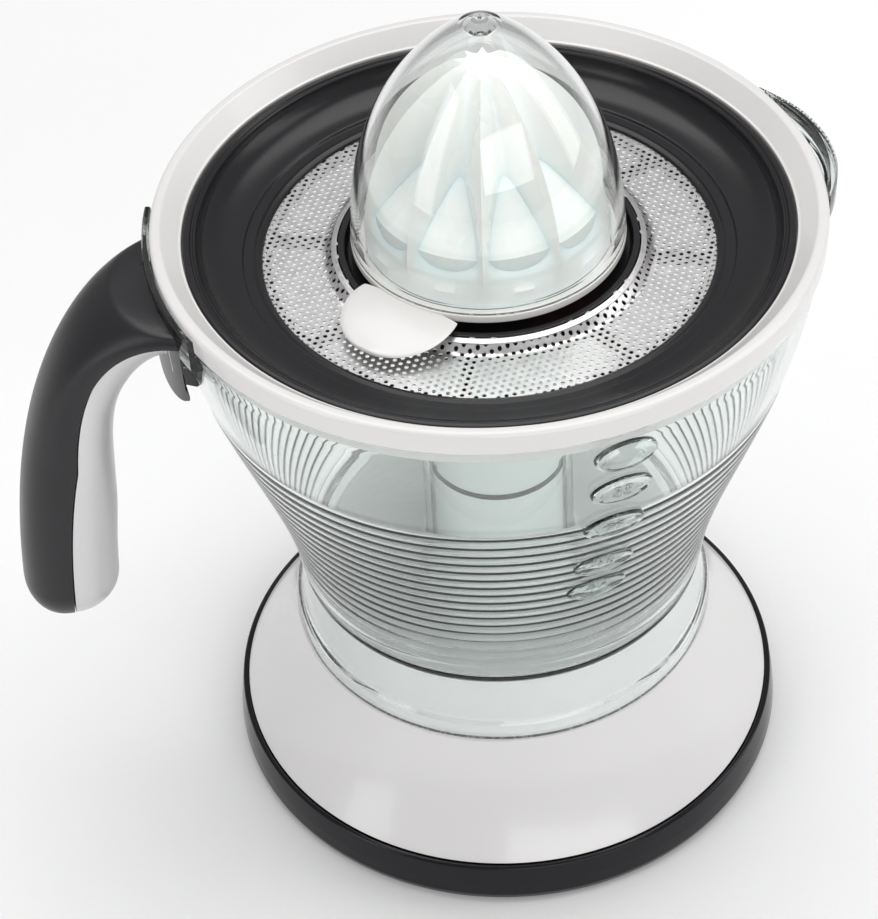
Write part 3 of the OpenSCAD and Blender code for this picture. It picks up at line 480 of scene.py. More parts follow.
# ------------------------------------------------------------------ jug
# The clear jug: one moulding in clear, faintly cool plastic. A stepped foot drops over the
# shell's boss, level ribs ring the lower wall, a chimney clears the drive tower, and the rim
# runs out into a rounded spout.
jug_floor_z = 62.2
jug_floor_t = 2.4
jug_wall = 2.2
waist_r = 54.1
rim_r = 79.3
rim_z = 170.2
jug_depth = rim_z - jug_floor_z
rib_count = 17
rib_pitch = 4.1
rib_proud = 0.32
rib_from = jug_floor_z + 5
rib_to = rib_from + rib_count * rib_pitch
rib_steps = 8
foot_r = shoulder_r - 0.4
neck_r = waist_r - 2
chimney_r = 20
chimney_top = 151.5
stem_r = 9.1
spout_from = 146.5


def smooth(t):
    """Eases from 0 to 1."""
    t = max(0, min(1, t))
    return t * t * (3 - 2 * t)


def jug_r(z):
    """The jug's outer radius, without ribs: a lazy curve from waist to rim."""
    t = max(0, min(1, (z - jug_floor_z - 2) / (jug_depth - 5)))
    return waist_r + (rim_r - waist_r) * (0.25 * t + 0.75 * smooth(t))


spout_round = 36
spout_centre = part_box("jug")[1].x / MM - spout_round


def spout_edge(turn):
    """Radius of the spout's rounded outline in one direction, or 0 outside it."""
    swing = abs(math.remainder(turn, math.tau))
    aside = spout_centre * math.sin(swing)
    if swing > math.radians(60) or aside >= spout_round:
        return 0
    return spout_centre * math.cos(swing) + math.sqrt(spout_round**2 - aside**2)


def spout_shift(turn, r, z):
    """How far the wall is drawn out at the spout."""
    if z < spout_from or r < rim_r * 0.7:
        return 0
    rise = smooth((z - spout_from) / (rim_z - 1 - spout_from))
    return max(0, spout_edge(turn) - rim_r - 0.7) * rise


def bead(t):
    """Height of one rib over its pitch: a shallow bead that meets its neighbour in a groove."""
    return 4 * t * (1 - t)


ribs = []
for i in range(rib_count * rib_steps + 1):
    z = rib_from + (rib_to - rib_from) * i / (rib_count * rib_steps)
    ribs.append((jug_r(z) + rib_proud * bead((i % rib_steps) / rib_steps), z))
band = [rib_to + (rim_z - 2.4 - rib_to) * i / 16 for i in range(1, 17)]
inner_low = jug_floor_z + jug_floor_t
inner = [rim_z - 1 + (inner_low + 5 - rim_z + 1) * i / 40 for i in range(41)]
jug_outline = rounded(
    [(foot_r - jug_wall, shoulder_z, 0.3), (foot_r, shoulder_z, 0.5)]
    + [(foot_r - 0.4, shoulder_z + 5, 0.4), (foot_r - 1.4, shoulder_z + 6, 0.4)]
    + [(neck_r, jug_floor_z, 0.5), (waist_r, jug_floor_z + 2, 0.8)]
    + plain(ribs + [(jug_r(z), z) for z in band])
    + [(rim_r + 0.7, rim_z - 2, 0.3), (rim_r + 0.7, rim_z, 0.5), (rim_r - jug_wall, rim_z, 0.4)]
    + plain([(jug_r(z) - jug_wall, z) for z in inner])
    + [(waist_r - jug_wall + 0.4, inner_low, 3), (chimney_r, inner_low, 2.5)]
    + [(chimney_r - 0.3, chimney_top, 1.5), (stem_r, chimney_top, 0.4)]
    + [(stem_r, chimney_top - 2, 0.4), (chimney_r - 2.3, chimney_top - 2, 1)]
    + [(chimney_r - 2, jug_floor_z, 0.5), (tower_r + 4.3, jug_floor_z, 0)]
    + [(neck_r - jug_wall, jug_floor_z, 0.6), (foot_r - jug_wall - 0.9, shoulder_z + 6, 0.4)]
)


def clear_plastic(name, tint, roughness):
    """Clear plastic that bends light; lamps' shadow rays pass it, faintly tinted."""
    finish = Finish(name, roughness, IOR=1.49, Transmission_Weight=1.0)
    drift = finish.noise(20, 2)
    deeper = tuple(c * 0.985 for c in tint)
    finish.set("Base Color", finish.mix(drift, deeper, tint))
    finish.set("Roughness", roughness * (0.6 + 0.8 * finish.noise(60, 3)))
    finish.bump(finish.noise(150, 1), 0.000002)
    faint = tuple(0.7 + 0.3 * c for c in tint)
    passing = finish.node("ShaderNodeBsdfTransparent", {}, {"Color": faint})
    shadow = finish.node("ShaderNodeLightPath").out("Is Shadow Ray")
    both = finish.node("ShaderNodeMixShader", {}, {0: shadow, 1: finish.shader, 2: passing})
    finish.feed(finish.end.inputs["Surface"], both)
    return finish


clear_jug = clear_plastic("clear_jug", (0.915, 0.947, 0.937), 0.01)
# The bracket that hugs the ring and carries the handle is moulded on at the back.
bracket_r = 82.6
bracket_t = 1.5
bracket_half_turn = math.radians(18.5)
pad_half_turn = math.radians(11)
bracket_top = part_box("jug")[1].z / MM
bracket_outline = rounded(
    [(rim_r + 0.3, rim_z - 5, 0.3), (bracket_r, rim_z - 3.5, 0.8), (bracket_r, bracket_top, 0.5)]
    + [(bracket_r - bracket_t, bracket_top, 0.5), (bracket_r - bracket_t, rim_z, 0.2)]
    + [(rim_r + 0.3, rim_z, 0.2)]
)
pad_outline = rounded(
    [(rim_r - 2.2, rim_z - 19, 0.5), (bracket_r, rim_z - 15, 1.5), (bracket_r, rim_z - 4.2, 0.4)]
    + [(rim_r + 0.3, rim_z - 5.4, 0.3), (rim_r - 1.2, rim_z - 9, 0)]
)


def sector(outline, first, last, steps):
    """Closed solid swept from one turn to another about the upright axis."""
    solid = bmesh.new()
    rings = []
    for i in range(steps + 1):
        turn = first + (last - first) * i / steps
        ring = [solid.verts.new((r * math.cos(turn), r * math.sin(turn), z)) for r, z in outline]
        rings.append(ring)
    count = len(outline)
    for here, there in zip(rings, rings[1:]):
        for k in range(count):
            n = (k + 1) % count
            solid.faces.new((here[k], there[k], there[n], here[n]))
    solid.faces.new(rings[0])
    solid.faces.new(rings[-1][::-1])
    bmesh.ops.scale(solid, vec=(MM, MM, MM), verts=solid.verts)
    return close_up(solid)


def each_side(middle, half_turn):
    """The first and last turn of a sector about its middle."""
    return middle - half_turn, middle + half_turn


def spout_lip():
    """The spout's raised wall, outside the ring, as a closed crescent."""
    wall_in = ring_r + 0.35
    top = bracket_top
    solid = bmesh.new()
    steps = 60
    reach = 0
    while spout_edge(reach) > wall_in + 0.25:
        reach += math.radians(0.1)
    rings = []
    for i in range(steps + 1):
        turn = reach * math.sin(math.pi / 2 * (2 * i / steps - 1))
        out = max(spout_edge(turn), wall_in + 0.25)
        thin = max(wall_in, out - 2.2)
        outline = [(out, rim_z - 0.6), (out, top - 0.7), (out - 0.25 * (out - thin), top)]
        outline += [(thin + 0.2 * (out - thin), top), (thin, top - 0.6), (thin, rim_z + 0.25)]
        ring = [solid.verts.new((r * math.cos(turn), r * math.sin(turn), z)) for r, z in outline]
        rings.append(ring)
    for here, there in zip(rings, rings[1:]):
        for k in range(6):
            n = (k + 1) % 6
            solid.faces.new((here[k], there[k], there[n], here[n]))
    solid.faces.new(rings[0])
    solid.faces.new(rings[-1][::-1])
    bmesh.ops.scale(solid, vec=(MM, MM, MM), verts=solid.verts)
    return close_up(solid)


ring_r, ring_low, ring_top = extent("collector_ring")
piece(
    "jug_body", revolve(jug_outline, 288, spout_shift), clear_jug,
    "jug", ["jug", "jug_chimney"], 50,
)
piece("jug_spout_lip", spout_lip(), clear_jug, "jug", (), 40)
bracket_parts = [
    sector(bracket_outline, *each_side(math.pi, bracket_half_turn), 32),
    sector(pad_outline, *each_side(math.pi, pad_half_turn), 20),
]
piece("jug_bracket", merge(bracket_parts), clear_jug, "jug", (), 50)

# ------------------------------------------------------------------ volume marks
# A column of moulded ovals on the front of the jug, four of them with a plain number.
# They stand a little proud of the wall, and the ribs run into them.
mark_turn = math.radians(-84)
mark_levels = [(162.5, ""), (150, "35"), (135, "25"), (116.5, "15"), (104, "10")]
oval_half_w = 7.6
oval_half_h = 4.4


def on_jug(across, up, proud):
    """A point on the jug's wall: millimetres along it, a level, and how far proud."""
    r = jug_r(up) + proud
    turn = mark_turn + across / r
    return (r * math.cos(turn) * MM, r * math.sin(turn) * MM, up * MM)


def oval(centre):
    """A raised rim round a shallow dished oval, sunk into the wall."""
    solid = bmesh.new()
    rows = [(1.0, -0.5), (1.0, 0.75), (0.95, 1.0), (0.88, 1.0), (0.83, 0.8), (0.4, 0.8)]
    rings = []
    for share, proud in rows:
        ring = []
        for i in range(48):
            turn = math.tau * i / 48
            across = oval_half_w * share * math.cos(turn)
            up = centre + oval_half_h * share * math.sin(turn)
            ring.append(solid.verts.new(on_jug(across, up, proud)))
        rings.append(ring)
    for here, there in zip(rings, rings[1:]):
        for k in range(48):
            n = (k + 1) % 48
            solid.faces.new((here[k], here[n], there[n], there[k]))
    solid.faces.new(rings[-1])
    solid.faces.new(rings[0][::-1])
    return close_up(solid)


def numeral(text, centre, size):
    """A plain number as a raised solid on the jug's wall."""
    curve = bpy.data.curves.new("numeral", "FONT")
    curve.body = text
    curve.size = size
    curve.align_x = "CENTER"
    curve.align_y = "CENTER"
    curve.extrude = 0.5
    curve.resolution_u = 4
    holder = bpy.data.objects.new("numeral", curve)
    solid = bmesh.new()
    solid.from_mesh(holder.to_mesh())
    for point in solid.verts:
        proud = 1.15 if point.co.z > 0 else 0.5
        point.co = on_jug(point.co.x, centre + point.co.y, proud)
    bpy.data.objects.remove(holder)
    return close_up(solid)


marks = [oval(level) for level, text in mark_levels]
numbers = [numeral(text, level, 5.2) for level, text in mark_levels if text]
piece("volume_ovals", merge(marks), clear_jug, "jug", ())
piece("volume_numbers", merge(numbers), clear_jug, "jug", (), 30)

# ------------------------------------------------------------------ handle
# A hook handle in two halves, screwed to the jug's bracket: the outer half is a soft satin
# near-black grip, the inner half a satin silver inlay. Both end in one round tip.
grip_points = [(80.3, 163.2), (103.3, 163.2), (113.3, 115.2), (115.3, 75.2)]
grip_w = 23
root_w = 42
inlay_root_w = 28
inlay_root_d = 6.5
parting_rise = 5
facet_centre = 67.8
facet_r = 23.8
facet_depth = 4.5
GRIP_ROUND = 64


def grip_at(t):
    """The handle's centreline: a cubic, as distance out from the axis and level."""
    a, b, c, d = (Vector(p) for p in grip_points)
    return a * (1 - t) ** 3 + 3 * b * t * (1 - t) ** 2 + 3 * c * t * t * (1 - t) + d * t**3


def grip_ring(t, side):
    """Half of the grip's section: side 1 faces out and side -1 faces the jug."""
    centre = grip_at(t)
    along = (grip_at(min(1, t + 0.01)) - grip_at(max(0, t - 0.01))).normalized()
    outward = Vector((-along.y, along.x)) * side
    tip = max(0, (t - 0.9) / 0.1)
    close = math.sqrt(max(0.002, 1 - tip * tip))
    spread = (root_w if side > 0 else inlay_root_w) - grip_w
    half_w = (grip_w + spread * max(0, 1 - t / 0.42) ** 2) / 2 * close
    part = (0.4 + parting_rise * max(0, 1 - (max(0, t) / 0.55) ** 2)) * close
    out_d = (grip_w / 2 + 0.25) * close
    in_d = (inlay_root_d + (grip_w / 2 + 1 - inlay_root_d) * smooth((t - 0.3) / 0.45)) * close
    groove = 0.35 * min(1, close * 3)
    points = []
    for k in range(GRIP_ROUND + 1):
        a = math.pi * k / GRIP_ROUND
        across = half_w * 0.98 * math.copysign(abs(math.cos(a)) ** 0.92, math.cos(a)) * side
        rise = math.sin(a) ** 0.85
        if side > 0:
            out = part + groove + (out_d - part - groove) * rise
        else:
            out = (in_d + part) * rise - part
        # The thumb's place: a shallow hollow with a crisp edge, next to the bracket.
        x = centre.x + outward.x * out
        z = centre.y + outward.y * out
        near = math.hypot(x - facet_centre, across) / facet_r
        if side > 0 and near < 1 and rise > 0.3:
            z -= facet_depth * (1 - near) * (1 + near) * smooth((rise - 0.3) / 0.35)
        seat = bracket_r + 0.05
        if math.hypot(x, across) < seat:
            x = math.sqrt(seat * seat - across * across)
        points.append((-x * MM, across * MM, z * MM))
    return points


def grip_half(side):
    """One half of the handle as a closed solid."""
    solid = bmesh.new()
    steps = 150
    rings = []
    for i in range(steps + 1):
        t = -0.06 + 1.06 * math.sin(math.pi / 2 * i / steps)
        rings.append([solid.verts.new(p) for p in grip_ring(t, side)])
    count = GRIP_ROUND + 1
    for here, there in zip(rings, rings[1:]):
        for k in range(count):
            n = (k + 1) % count
            solid.faces.new((here[k], there[k], there[n], here[n]))
    solid.faces.new(rings[0])
    solid.faces.new(rings[-1][::-1])
    return close_up(solid)


soft_black = moulded(
    "soft_black", (0.008, 0.007, 0.009), (0.014, 0.012, 0.015), 0.33, 0.00002,
    Specular_IOR_Level=0.42,
)
satin_silver = moulded(
    "satin_silver", (0.66, 0.65, 0.655), (0.74, 0.73, 0.735), 0.34, 0.00003, Metallic=0.55
)
piece("grip_outer", grip_half(1), soft_black, "jug", ["handle_grip"])
piece("grip_inner", grip_half(-1), satin_silver, "jug", ["handle_inlay"])

# ------------------------------------------------------------------ collector ring
# The white ring on the jug's rim: one glossy warm-white moulding. Its top slopes down to
# the bowl's ledge, and a short skirt centres it in the jug.
lip_r, sleeve_end, lip_top = extent("filter_bowl")
ring_skirt_r = jug_r(ring_low) - jug_wall - 0.3
ledge_z = lip_top - 2.2
ring_outline = rounded(
    [(ring_r, ring_top, 1.2), (ring_r - 2.6, ring_top, 1.1), (lip_r + 0.9, lip_top + 0.2, 0.8)]
    + [(lip_r + 0.3, lip_top, 0.2), (lip_r + 0.3, ledge_z, 0.2)]
    + [(lip_r - 2.4, ledge_z, 0.3), (lip_r - 2.4, ledge_z - 1.8, 0.3)]
    + [(ring_skirt_r - 1.8, ledge_z - 1.8, 0.5), (ring_skirt_r - 1.8, ring_low, 0.4)]
    + [(ring_skirt_r, ring_low, 0.4), (ring_skirt_r, rim_z, 0.2), (ring_r - 0.1, rim_z, 0.9)]
)
ring_white = moulded(
    "ring_white", (0.75, 0.733, 0.72), (0.78, 0.763, 0.75), 0.22,
    Coat_Weight=0.2, Coat_Roughness=0.08,
)
piece("collector", revolve(ring_outline), ring_white, "collector", ["collector_ring"])

# ------------------------------------------------------------------ filter bowl
# The dark dish that lifts out of the ring: glossy near-black plastic with a beaded lip, a
# steep wall, a hub with a raised collar, and a sleeve that drops over the chimney.
screen_r, seat_z, crest_z = extent("filter_screen")
screen_t = 0.5
screen_z = seat_z + screen_t
crease_r = 40
collar_r = 36.4
hub_r = 11.2
hub_low = 158.2
sleeve_in = 21
sleeve_out = 23
bowl_floor = seat_z - 2.2
wall_r = lip_r - 2.7
foot_step_r = 60.2
wall_curve = []
for i in range(1, 21):
    lean = math.pi / 2 * i / 20
    wall_curve.append((
        foot_step_r + (wall_r - 0.3 - foot_step_r) * math.cos(lean),
        lip_top - 0.8 - (lip_top - 2.4 - screen_z) * math.sin(lean),
    ))
bowl_outline = rounded(
    [(lip_r, ledge_z, 0.2), (lip_r, lip_top - 0.2, 0.6), (lip_r - 1.5, lip_top, 0.7)]
    + [(lip_r - 1.9, lip_top - 0.7, 0.2), (lip_r - 2.4, lip_top - 0.7, 0.2)]
    + [(lip_r - 2.6, lip_top - 0.4, 0.3), (wall_r - 0.3, lip_top - 0.8, 0.1)]
    + plain(wall_curve)
    + [(foot_step_r - 0.5, screen_z + 1.5, 0.2), (foot_step_r - 0.9, screen_z + 0.9, 0.3)]
    + [(screen_r + 1.8, screen_z + 0.8, 0.3), (screen_r + 0.9, screen_z + 1.2, 0.4)]
    + [(screen_r - 0.2, screen_z + 0.7, 0.3), (screen_r - 0.5, screen_z + 0.06, 0.05)]
    + [(screen_r + 0.15, screen_z, 0.1), (screen_r + 0.15, seat_z, 0), (screen_r - 2.4, seat_z, 0)]
    + [(screen_r - 2.4, bowl_floor, 0.4), (screen_r + 5.5, bowl_floor, 1)]
    + [(wall_r - 3.4, screen_z + 0.4, 3), (wall_r - 0.3, screen_z + 4.2, 3), (wall_r, ledge_z, 0.3)]
)
hub_outline = rounded(
    [(hub_r, hub_low, 0.3), (hub_r + 2, hub_low, 0.3), (hub_r + 2, bowl_floor, 0.6)]
    + [(sleeve_in, bowl_floor, 0.4), (sleeve_in, sleeve_end, 0.4)]
    + [(sleeve_out, sleeve_end, 0.4), (sleeve_out, bowl_floor, 0.6)]
    + [(crease_r - 0.4, bowl_floor, 0.3), (crease_r - 0.4, seat_z, 0)]
    + [(collar_r + 0.2, crest_z - 1, 0), (collar_r, crest_z + 0.2, 0.4)]
    + [(collar_r - 1.6, crest_z + 0.2, 0.4), (collar_r - 2, seat_z + 0.9, 0.6)]
    + [(hub_r, seat_z + 0.9, 0.4)]
)
dark_bowl = moulded(
    "dark_bowl", (0.011, 0.01, 0.012), (0.015, 0.014, 0.016), 0.24, Specular_IOR_Level=0.35
)
bowl_parts = merge([revolve(bowl_outline), revolve(hub_outline)])
piece("bowl", bowl_parts, dark_bowl, "filter", ["filter_bowl"])


# ------------------------------------------------------------------ spokes
# Eight flat spokes join the bowl's rim to its hub under the screen, so that the thin steel
# is held up when fruit is pressed on it. They are moulded in one with the bowl.
class Plan(Tree):
    """A Geometry Nodes tree with named inputs for its sizes."""

    KINDS = {float: "NodeSocketFloat", int: "NodeSocketInt"}

    def __init__(self, name, sizes):
        super().__init__(bpy.data.node_groups.new(name, "GeometryNodeTree"))
        face = self.nodes.interface
        face.new_socket("Geometry", in_out="OUTPUT", socket_type="NodeSocketGeometry")
        self.sizes = sizes
        self.keys = {}
        for key, value in sizes.items():
            kind = self.KINDS[type(value)]
            made = face.new_socket(key, in_out="INPUT", socket_type=kind)
            self.keys[key] = made.identifier
        self.inputs = self.node("NodeGroupInput")

    def size(self, name):
        return self.inputs.out(name)

    def vector(self, x=0, y=0, z=0):
        return self.node("ShaderNodeCombineXYZ", {}, {0: x, 1: y, 2: z})

    def position(self):
        """The x, y and z of each point."""
        here = self.node("GeometryNodeInputPosition")
        parts = self.node("ShaderNodeSeparateXYZ", {}, {0: here})
        return here, parts.out("X"), parts.out("Y"), parts.out("Z")

    def grow(self, name, geometry, finish):
        """Ends the tree, runs it on a new object and returns the mesh as a bmesh."""
        real = self.node("GeometryNodeRealizeInstances", {}, {0: geometry})
        dressed = self.node("GeometryNodeSetMaterial", {}, {0: real, "Material": finish.material})
        self.node("NodeGroupOutput", {}, {0: dressed})
        holder = bpy.data.objects.new(name, bpy.data.meshes.new(name))
        scene.collection.objects.link(holder)
        maker = holder.modifiers.new(name, "NODES")
        maker.node_group = self.nodes
        for key, value in self.sizes.items():
            maker[self.keys[key]] = value
        evaluated = holder.evaluated_get(bpy.context.evaluated_depsgraph_get())
        grown = bpy.data.meshes.new_from_object(evaluated)
        holder.modifiers.remove(maker)
        bpy.data.objects.remove(holder)
        solid = bmesh.new()
        solid.from_mesh(grown)
        return close_up(solid)


spoke_sizes = {
    "Count": 8,
    "Inner radius": (crease_r - 2) * MM,
    "Length": (screen_r - crease_r) * MM,
    "Width": 2.5 * MM,
    "Height": 2.2 * MM,
    "Level": (bowl_floor + 1.1) * MM,
}
spokes = Plan("spokes", spoke_sizes)
bar_size = spokes.vector(spokes.size("Length"), spokes.size("Width"), spokes.size("Height"))
bar = spokes.node("GeometryNodeMeshCube", {}, {"Size": bar_size})
centre_r = spokes.size("Inner radius") + spokes.size("Length") / 2
bar_place = spokes.vector(centre_r, 0.0, spokes.size("Level"))
bar_out = spokes.node("GeometryNodeTransform", {}, {0: bar, "Translation": bar_place})
spoke_points = spokes.node("GeometryNodePoints", {}, {"Count": spokes.size("Count")})
spoke_turn = (spokes.node("GeometryNodeInputIndex") + 0.5) * math.tau / spokes.size("Count")
spoke_facing = spokes.vector(0.0, 0.0, spoke_turn)
spoke_ring = spokes.node(
    "GeometryNodeInstanceOnPoints", {},
    {0: spoke_points, "Instance": bar_out, "Rotation": spoke_facing},
)
piece("bowl_spokes", spokes.grow("spokes", spoke_ring, dark_bowl), dark_bowl, "filter", ())

# ------------------------------------------------------------------ screen
# The strainer: thin steel sheet, pierced all over in a staggered pattern, drawn up to a
# raised edge round the hub. Plain rims hold it in the bowl.
pierced = Finish("pierced_steel", 0.3, Metallic=1.0)
grain = pierced.noise(500, 3)
pierced.set("Base Color", pierced.mix(grain, (0.62, 0.61, 0.61), (0.78, 0.77, 0.77)))
pierced.set("Roughness", 0.24 + 0.16 * grain)
pierced.bump(pierced.noise(1600, 2), 0.00001)

HOLE_PITCH = 1.9
ROW_STEP = math.sqrt(3) / 2
pierced_out = screen_r - 0.1
pierced_in = collar_r + 0.9
screen_sizes = {
    "Pitch": HOLE_PITCH * MM,
    "Hole radius": 0.52 * MM,
    "Columns": 2 * math.ceil(screen_r / HOLE_PITCH) + 1,
    "Rows": 2 * math.ceil(screen_r / HOLE_PITCH / ROW_STEP) + 1,
    "Inner radius": pierced_in * MM,
    "Outer radius": pierced_out * MM,
    "Crease radius": crease_r * MM,
    "Rise": (crest_z - screen_z) * MM,
    "Level": screen_z * MM,
    "Thickness": screen_t * 0.6 * MM,
}
sheet = Plan("pierced_sheet", screen_sizes)
pitch = sheet.size("Pitch")
row_gap = pitch * ROW_STEP
grid = sheet.node(
    "GeometryNodeMeshGrid", {},
    {
        "Size X": pitch * (sheet.size("Columns") - 1),
        "Size Y": row_gap * (sheet.size("Rows") - 1),
        "Vertices X": sheet.size("Columns"),
        "Vertices Y": sheet.size("Rows"),
    },
)
here, x, y, z = sheet.position()
odd_row = sheet.math("FLOOR", y / row_gap + 0.5) % 2
staggered = sheet.node(
    "GeometryNodeSetPosition", {}, {0: grid, "Offset": sheet.vector(odd_row * pitch / 2, 0.0, 0.0)}
)
from_axis = sheet.math("SQRT", x * x + y * y)
outside = (from_axis > sheet.size("Outer radius")) + (from_axis < sheet.size("Inner radius"))
centres = sheet.node("GeometryNodeDeleteGeometry", {"domain": "POINT"}, {0: staggered, 1: outside})

hole = sheet.node(
    "GeometryNodeMeshCircle", {"fill_type": "NONE"},
    {"Vertices": 12, "Radius": sheet.size("Hole radius")},
)
web = sheet.node("GeometryNodeExtrudeMesh", {"mode": "EDGES"}, {0: hole, "Offset Scale": 0.0})
# The web's outer edge is a hexagon: half a pitch to its sides, a little more to its corners.
six_fold = sheet.math("COSINE", 6 * sheet.math("ARCTAN2", y, x))
edge_r = pitch * (0.5386751 - 0.0386751 * six_fold)
widen = edge_r / sheet.size("Hole radius")
widened = sheet.vector(x * widen, y * widen, 0.0)
cell = sheet.node(
    "GeometryNodeSetPosition", {}, {0: web, "Selection": web.out("Top"), "Position": widened}
)
cells = sheet.node("GeometryNodeInstanceOnPoints", {}, {0: centres, "Instance": cell})
cells = sheet.node("GeometryNodeRealizeInstances", {}, {0: cells})
joined = sheet.node("GeometryNodeMergeByDistance", {}, {0: cells, "Distance": pitch * 0.05})
climb = sheet.node(
    "ShaderNodeMapRange", {"interpolation_type": "SMOOTHSTEP"},
    {
        "Value": from_axis,
        "From Min": sheet.size("Crease radius") + 0.0004,
        "From Max": sheet.size("Inner radius") - 0.0004,
        "To Min": sheet.size("Level"),
        "To Max": sheet.size("Level") + sheet.size("Rise"),
    },
)
drawn = sheet.node("GeometryNodeSetPosition", {}, {0: joined, "Offset": sheet.vector(0.0, 0.0, climb)})
under = sheet.node(
    "GeometryNodeExtrudeMesh", {"mode": "FACES"},
    {
        0: drawn,
        "Offset": sheet.vector(0.0, 0.0, -1.0),
        "Offset Scale": sheet.size("Thickness"),
        "Individual": False,
    },
)
both_skins = sheet.node("GeometryNodeJoinGeometry")
join_socket = both_skins.socket.node.inputs[0]
sheet.feed(join_socket, drawn)
sheet.feed(join_socket, under)
holes = sheet.grow("pierced_sheet", both_skins, pierced)
outer_rim = rounded(
    [(screen_r, seat_z, 0), (screen_r, screen_z - 0.35, 0.05), (screen_r - 1.2, screen_z - 0.35, 0.05)]
    + [(screen_r - 1.2, seat_z, 0)]
)
inner_rim = rounded(
    [(collar_r + 0.35, crest_z - 0.5, 0.1), (collar_r + 1.7, crest_z - 0.9, 0.1)]
    + [(collar_r + 1.7, crest_z - 0.4, 0.1), (collar_r + 0.35, crest_z + 0.05, 0.1)]
)
piece(
    "strainer", merge([holes, revolve(outer_rim), revolve(inner_rim)]), pierced,
    "filter", ["filter_screen"], 30,
)

# ------------------------------------------------------------------ paddle ring
# The white band under the cone: it turns with the cone, and its one rounded paddle sweeps
# pulp off the screen. Moulded in glossy white plastic, with spokes to the cone's stem.
cover_r, band_top, cover_top = extent("cone_cover")
cover_r -= 0.2
band_low = band_top - 2.2
paddle_turn = math.radians(-141)
paddle_r = 14
paddle_reach = 50
band_outline = rounded(
    [(cover_r - 3.4, band_low, 0.3), (cover_r + 0.2, band_low, 0.6)]
    + [(cover_r + 0.2, band_top, 0.3), (cover_r - 3.4, band_top, 0.3)]
)
inner_band = rounded(
    [(stem_r + 0.3, band_low, 0.2), (14.2, band_low, 0.2)]
    + [(14.2, band_top - 0.4, 0.2), (stem_r + 0.3, band_top - 0.4, 0.2)]
)


def paddle():
    """A rounded visor that runs out from the band and droops to the screen."""
    solid = bmesh.new()
    across_steps = 40
    out_steps = 24
    layers = []
    for top in (True, False):
        rows = []
        for i in range(out_steps + 1):
            t = i / out_steps
            out = cover_r - 1 + (paddle_reach - cover_r + 1) * math.sin(math.pi / 2 * t)
            lobe = paddle_r**2 - (out - paddle_reach + paddle_r) ** 2
            half = math.sqrt(max(0.01, lobe))
            edge = min(1, half / 3)
            droop = smooth((out - cover_r - 1) / (paddle_reach - cover_r))
            row = []
            for k in range(across_steps + 1):
                share = 2 * k / across_steps - 1
                rim = math.sqrt(max(0, 1 - share**4)) * edge
                mid = band_low + 1.2 - 1.6 * droop
                level = mid + (0.55 if top else -0.55) * rim - 0.25 * share * share
                row.append(solid.verts.new((out * MM, half * share * MM, level * MM)))
            rows.append(row)
        layers.append(rows)
        for here, there in zip(rows, rows[1:]):
            for k in range(across_steps):
                solid.faces.new((here[k], there[k], there[k + 1], here[k + 1]))
    upper, lower = layers
    for k in range(across_steps):
        solid.faces.new((upper[0][k], upper[0][k + 1], lower[0][k + 1], lower[0][k]))
        solid.faces.new((upper[-1][k], upper[-1][k + 1], lower[-1][k + 1], lower[-1][k]))
    bmesh.ops.rotate(solid, matrix=Matrix.Rotation(paddle_turn, 3, "Z"), verts=solid.verts)
    return close_up(solid)


arm_outline = [(stem_r + 2, band_low), (cover_r - 3, band_low)]
arm_outline += [(cover_r - 3, band_top - 0.4), (stem_r + 2, band_top - 0.4)]
arms = [sector(arm_outline, math.radians(a - 5), math.radians(a + 5), 6) for a in (0, 90, 180, 270)]
band_parts = [revolve(band_outline), revolve(inner_band), paddle(), *arms]
piece("paddle_band", merge(band_parts), ring_white, "paddle", ["paddle_ring"])

# ------------------------------------------------------------------ cone
# The pressing cone: pale, slightly translucent plastic, fluted from its foot to its point,
# hollow underneath, with a stem that takes the hexagonal drive head.
flutes = 10
cone_foot = cover_r - 1.6 - 1.8
cone_straight = 6
cone_h = 44.5
cone_drop = 3.5
cone_low = extent("press_cone")[1]


def arch(r, h, z):
    """Radius of a pointed arch of a base radius and height, at a level."""
    k = (r * r + h * h) / (2 * r)
    y = max(0, min(h, z))
    return math.sqrt(max(0, k * k - y * y)) - (k - r)


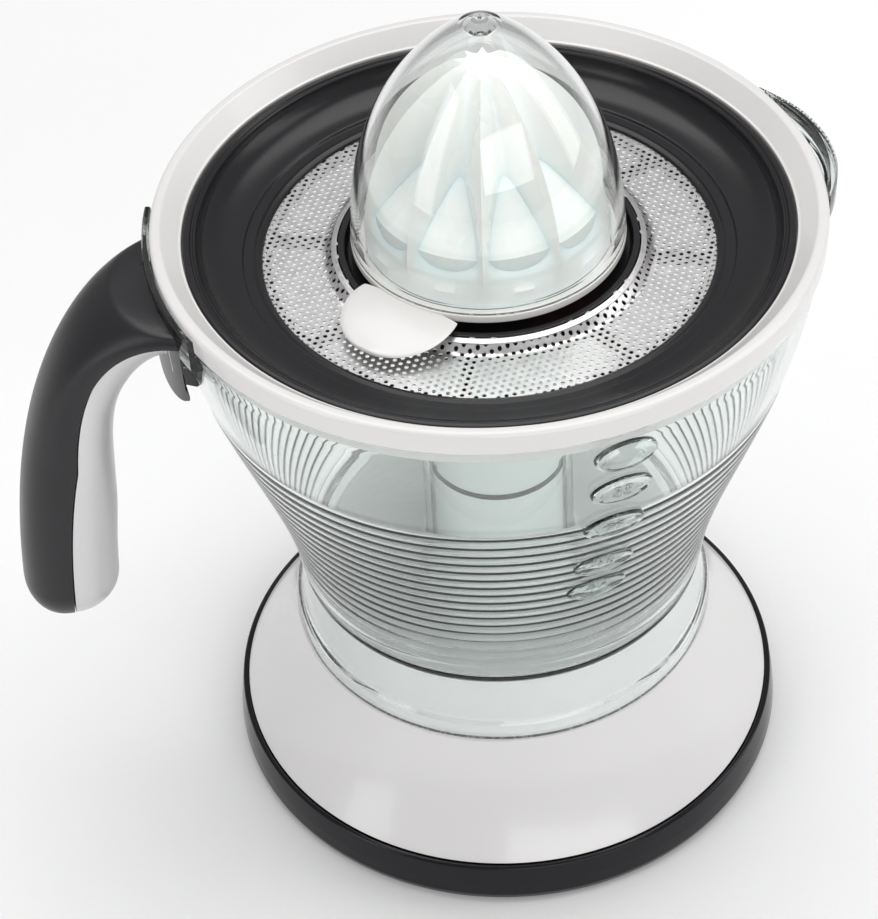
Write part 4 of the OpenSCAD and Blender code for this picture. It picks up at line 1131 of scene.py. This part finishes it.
def cone_body():
    """Fluted outside, smooth hollow inside, closed at its foot."""
    solid = bmesh.new()
    per_flute = 20
    count = flutes * per_flute
    levels = 48
    rings = []
    for i in range(levels + 1):
        z = (cone_h - cone_drop) * i / levels
        crest = arch(cone_foot, cone_h, z)
        depth = crest * 0.33 * smooth(z / 12) + crest * 0.04
        ring = []
        for k in range(count):
            turn = math.tau * k / count
            flute = abs(math.sin(turn * flutes / 2)) ** 0.75
            r = crest - depth * flute
            point = (r * math.cos(turn), r * math.sin(turn), band_top + cone_straight + z)
            ring.append(solid.verts.new(point))
        rings.append(ring)
    foot = [
        (cone_foot, band_top + cone_straight - 2), (cone_foot, band_top), (cone_foot - 1.8, band_top),
        (cone_foot - 2.4, band_top + 12), (stem_r + 4, band_top + 30), (0, band_top + 32),
    ]
    for r, z in foot:
        ring = []
        for k in range(count):
            turn = math.tau * k / count
            ring.append(solid.verts.new((r * math.cos(turn), r * math.sin(turn), z)))
        rings.insert(0, ring)
    for here, there in zip(rings, rings[1:]):
        for k in range(count):
            n = (k + 1) % count
            solid.faces.new((here[k], here[n], there[n], there[k]))
    solid.faces.new(rings[-1])
    bmesh.ops.scale(solid, vec=(MM, MM, MM), verts=solid.verts)
    return close_up(solid)


stem_outline = rounded(
    [(stem_r, cone_low, 0.4), (stem_r, band_top + 31, 0), (7.3, band_top + 31, 0), (7.3, cone_low, 0.4)]
)
cone_white = moulded(
    "cone_white", (0.78, 0.8, 0.78), (0.83, 0.845, 0.83), 0.28, Subsurface_Weight=0.25,
    Subsurface_Scale=0.004,
)
cone_parts = merge([cone_body(), revolve(stem_outline, 96)])
piece("cone", cone_parts, cone_white, "cone", ["press_cone"], 28)

# ------------------------------------------------------------------ cover
# The clear cover that stands over the cone: a pointed dome in clear plastic, thick at its
# foot, with a small flat nub at its tip where it was moulded.
cover_h = cover_top - band_top
cover_straight = 4
cover_wall = 1.6
cover_arch = cover_h - cover_straight
tip_r = 2.2
climb_steps = 40
outer_skin = []
inner_skin = []
for i in range(climb_steps + 1):
    share = i / climb_steps
    z = (cover_arch - 1.6) * math.sin(math.pi / 2 * share)
    r = arch(cover_r - 0.3, cover_arch + 1.6, z)
    outer_skin.append((max(tip_r, r), band_top + cover_straight + z))
    level = band_top + cover_straight + z - cover_wall * share
    inner_skin.append((max(0, r - cover_wall), level))
cover_outline = rounded(
    [(cover_r - cover_wall, band_top, 0.3), (cover_r + 0.15, band_top, 0.4)]
    + [(cover_r, band_top + 2.8, 0.5)] + plain(outer_skin)
    + [(tip_r - 0.2, cover_top - 0.6, 0.3), (tip_r - 0.9, cover_top, 0.4)]
    + [(0.5, cover_top - 0.1, 0.1), (0, cover_top - 0.9, 0), (0, cover_top - 3.2, 0)]
    + plain(inner_skin[::-1])
)
clear_cover = clear_plastic("clear_cover", (0.94, 0.955, 0.95), 0.015)
piece("cover", revolve(cover_outline), clear_cover, "cover", ["cone_cover"], 50)
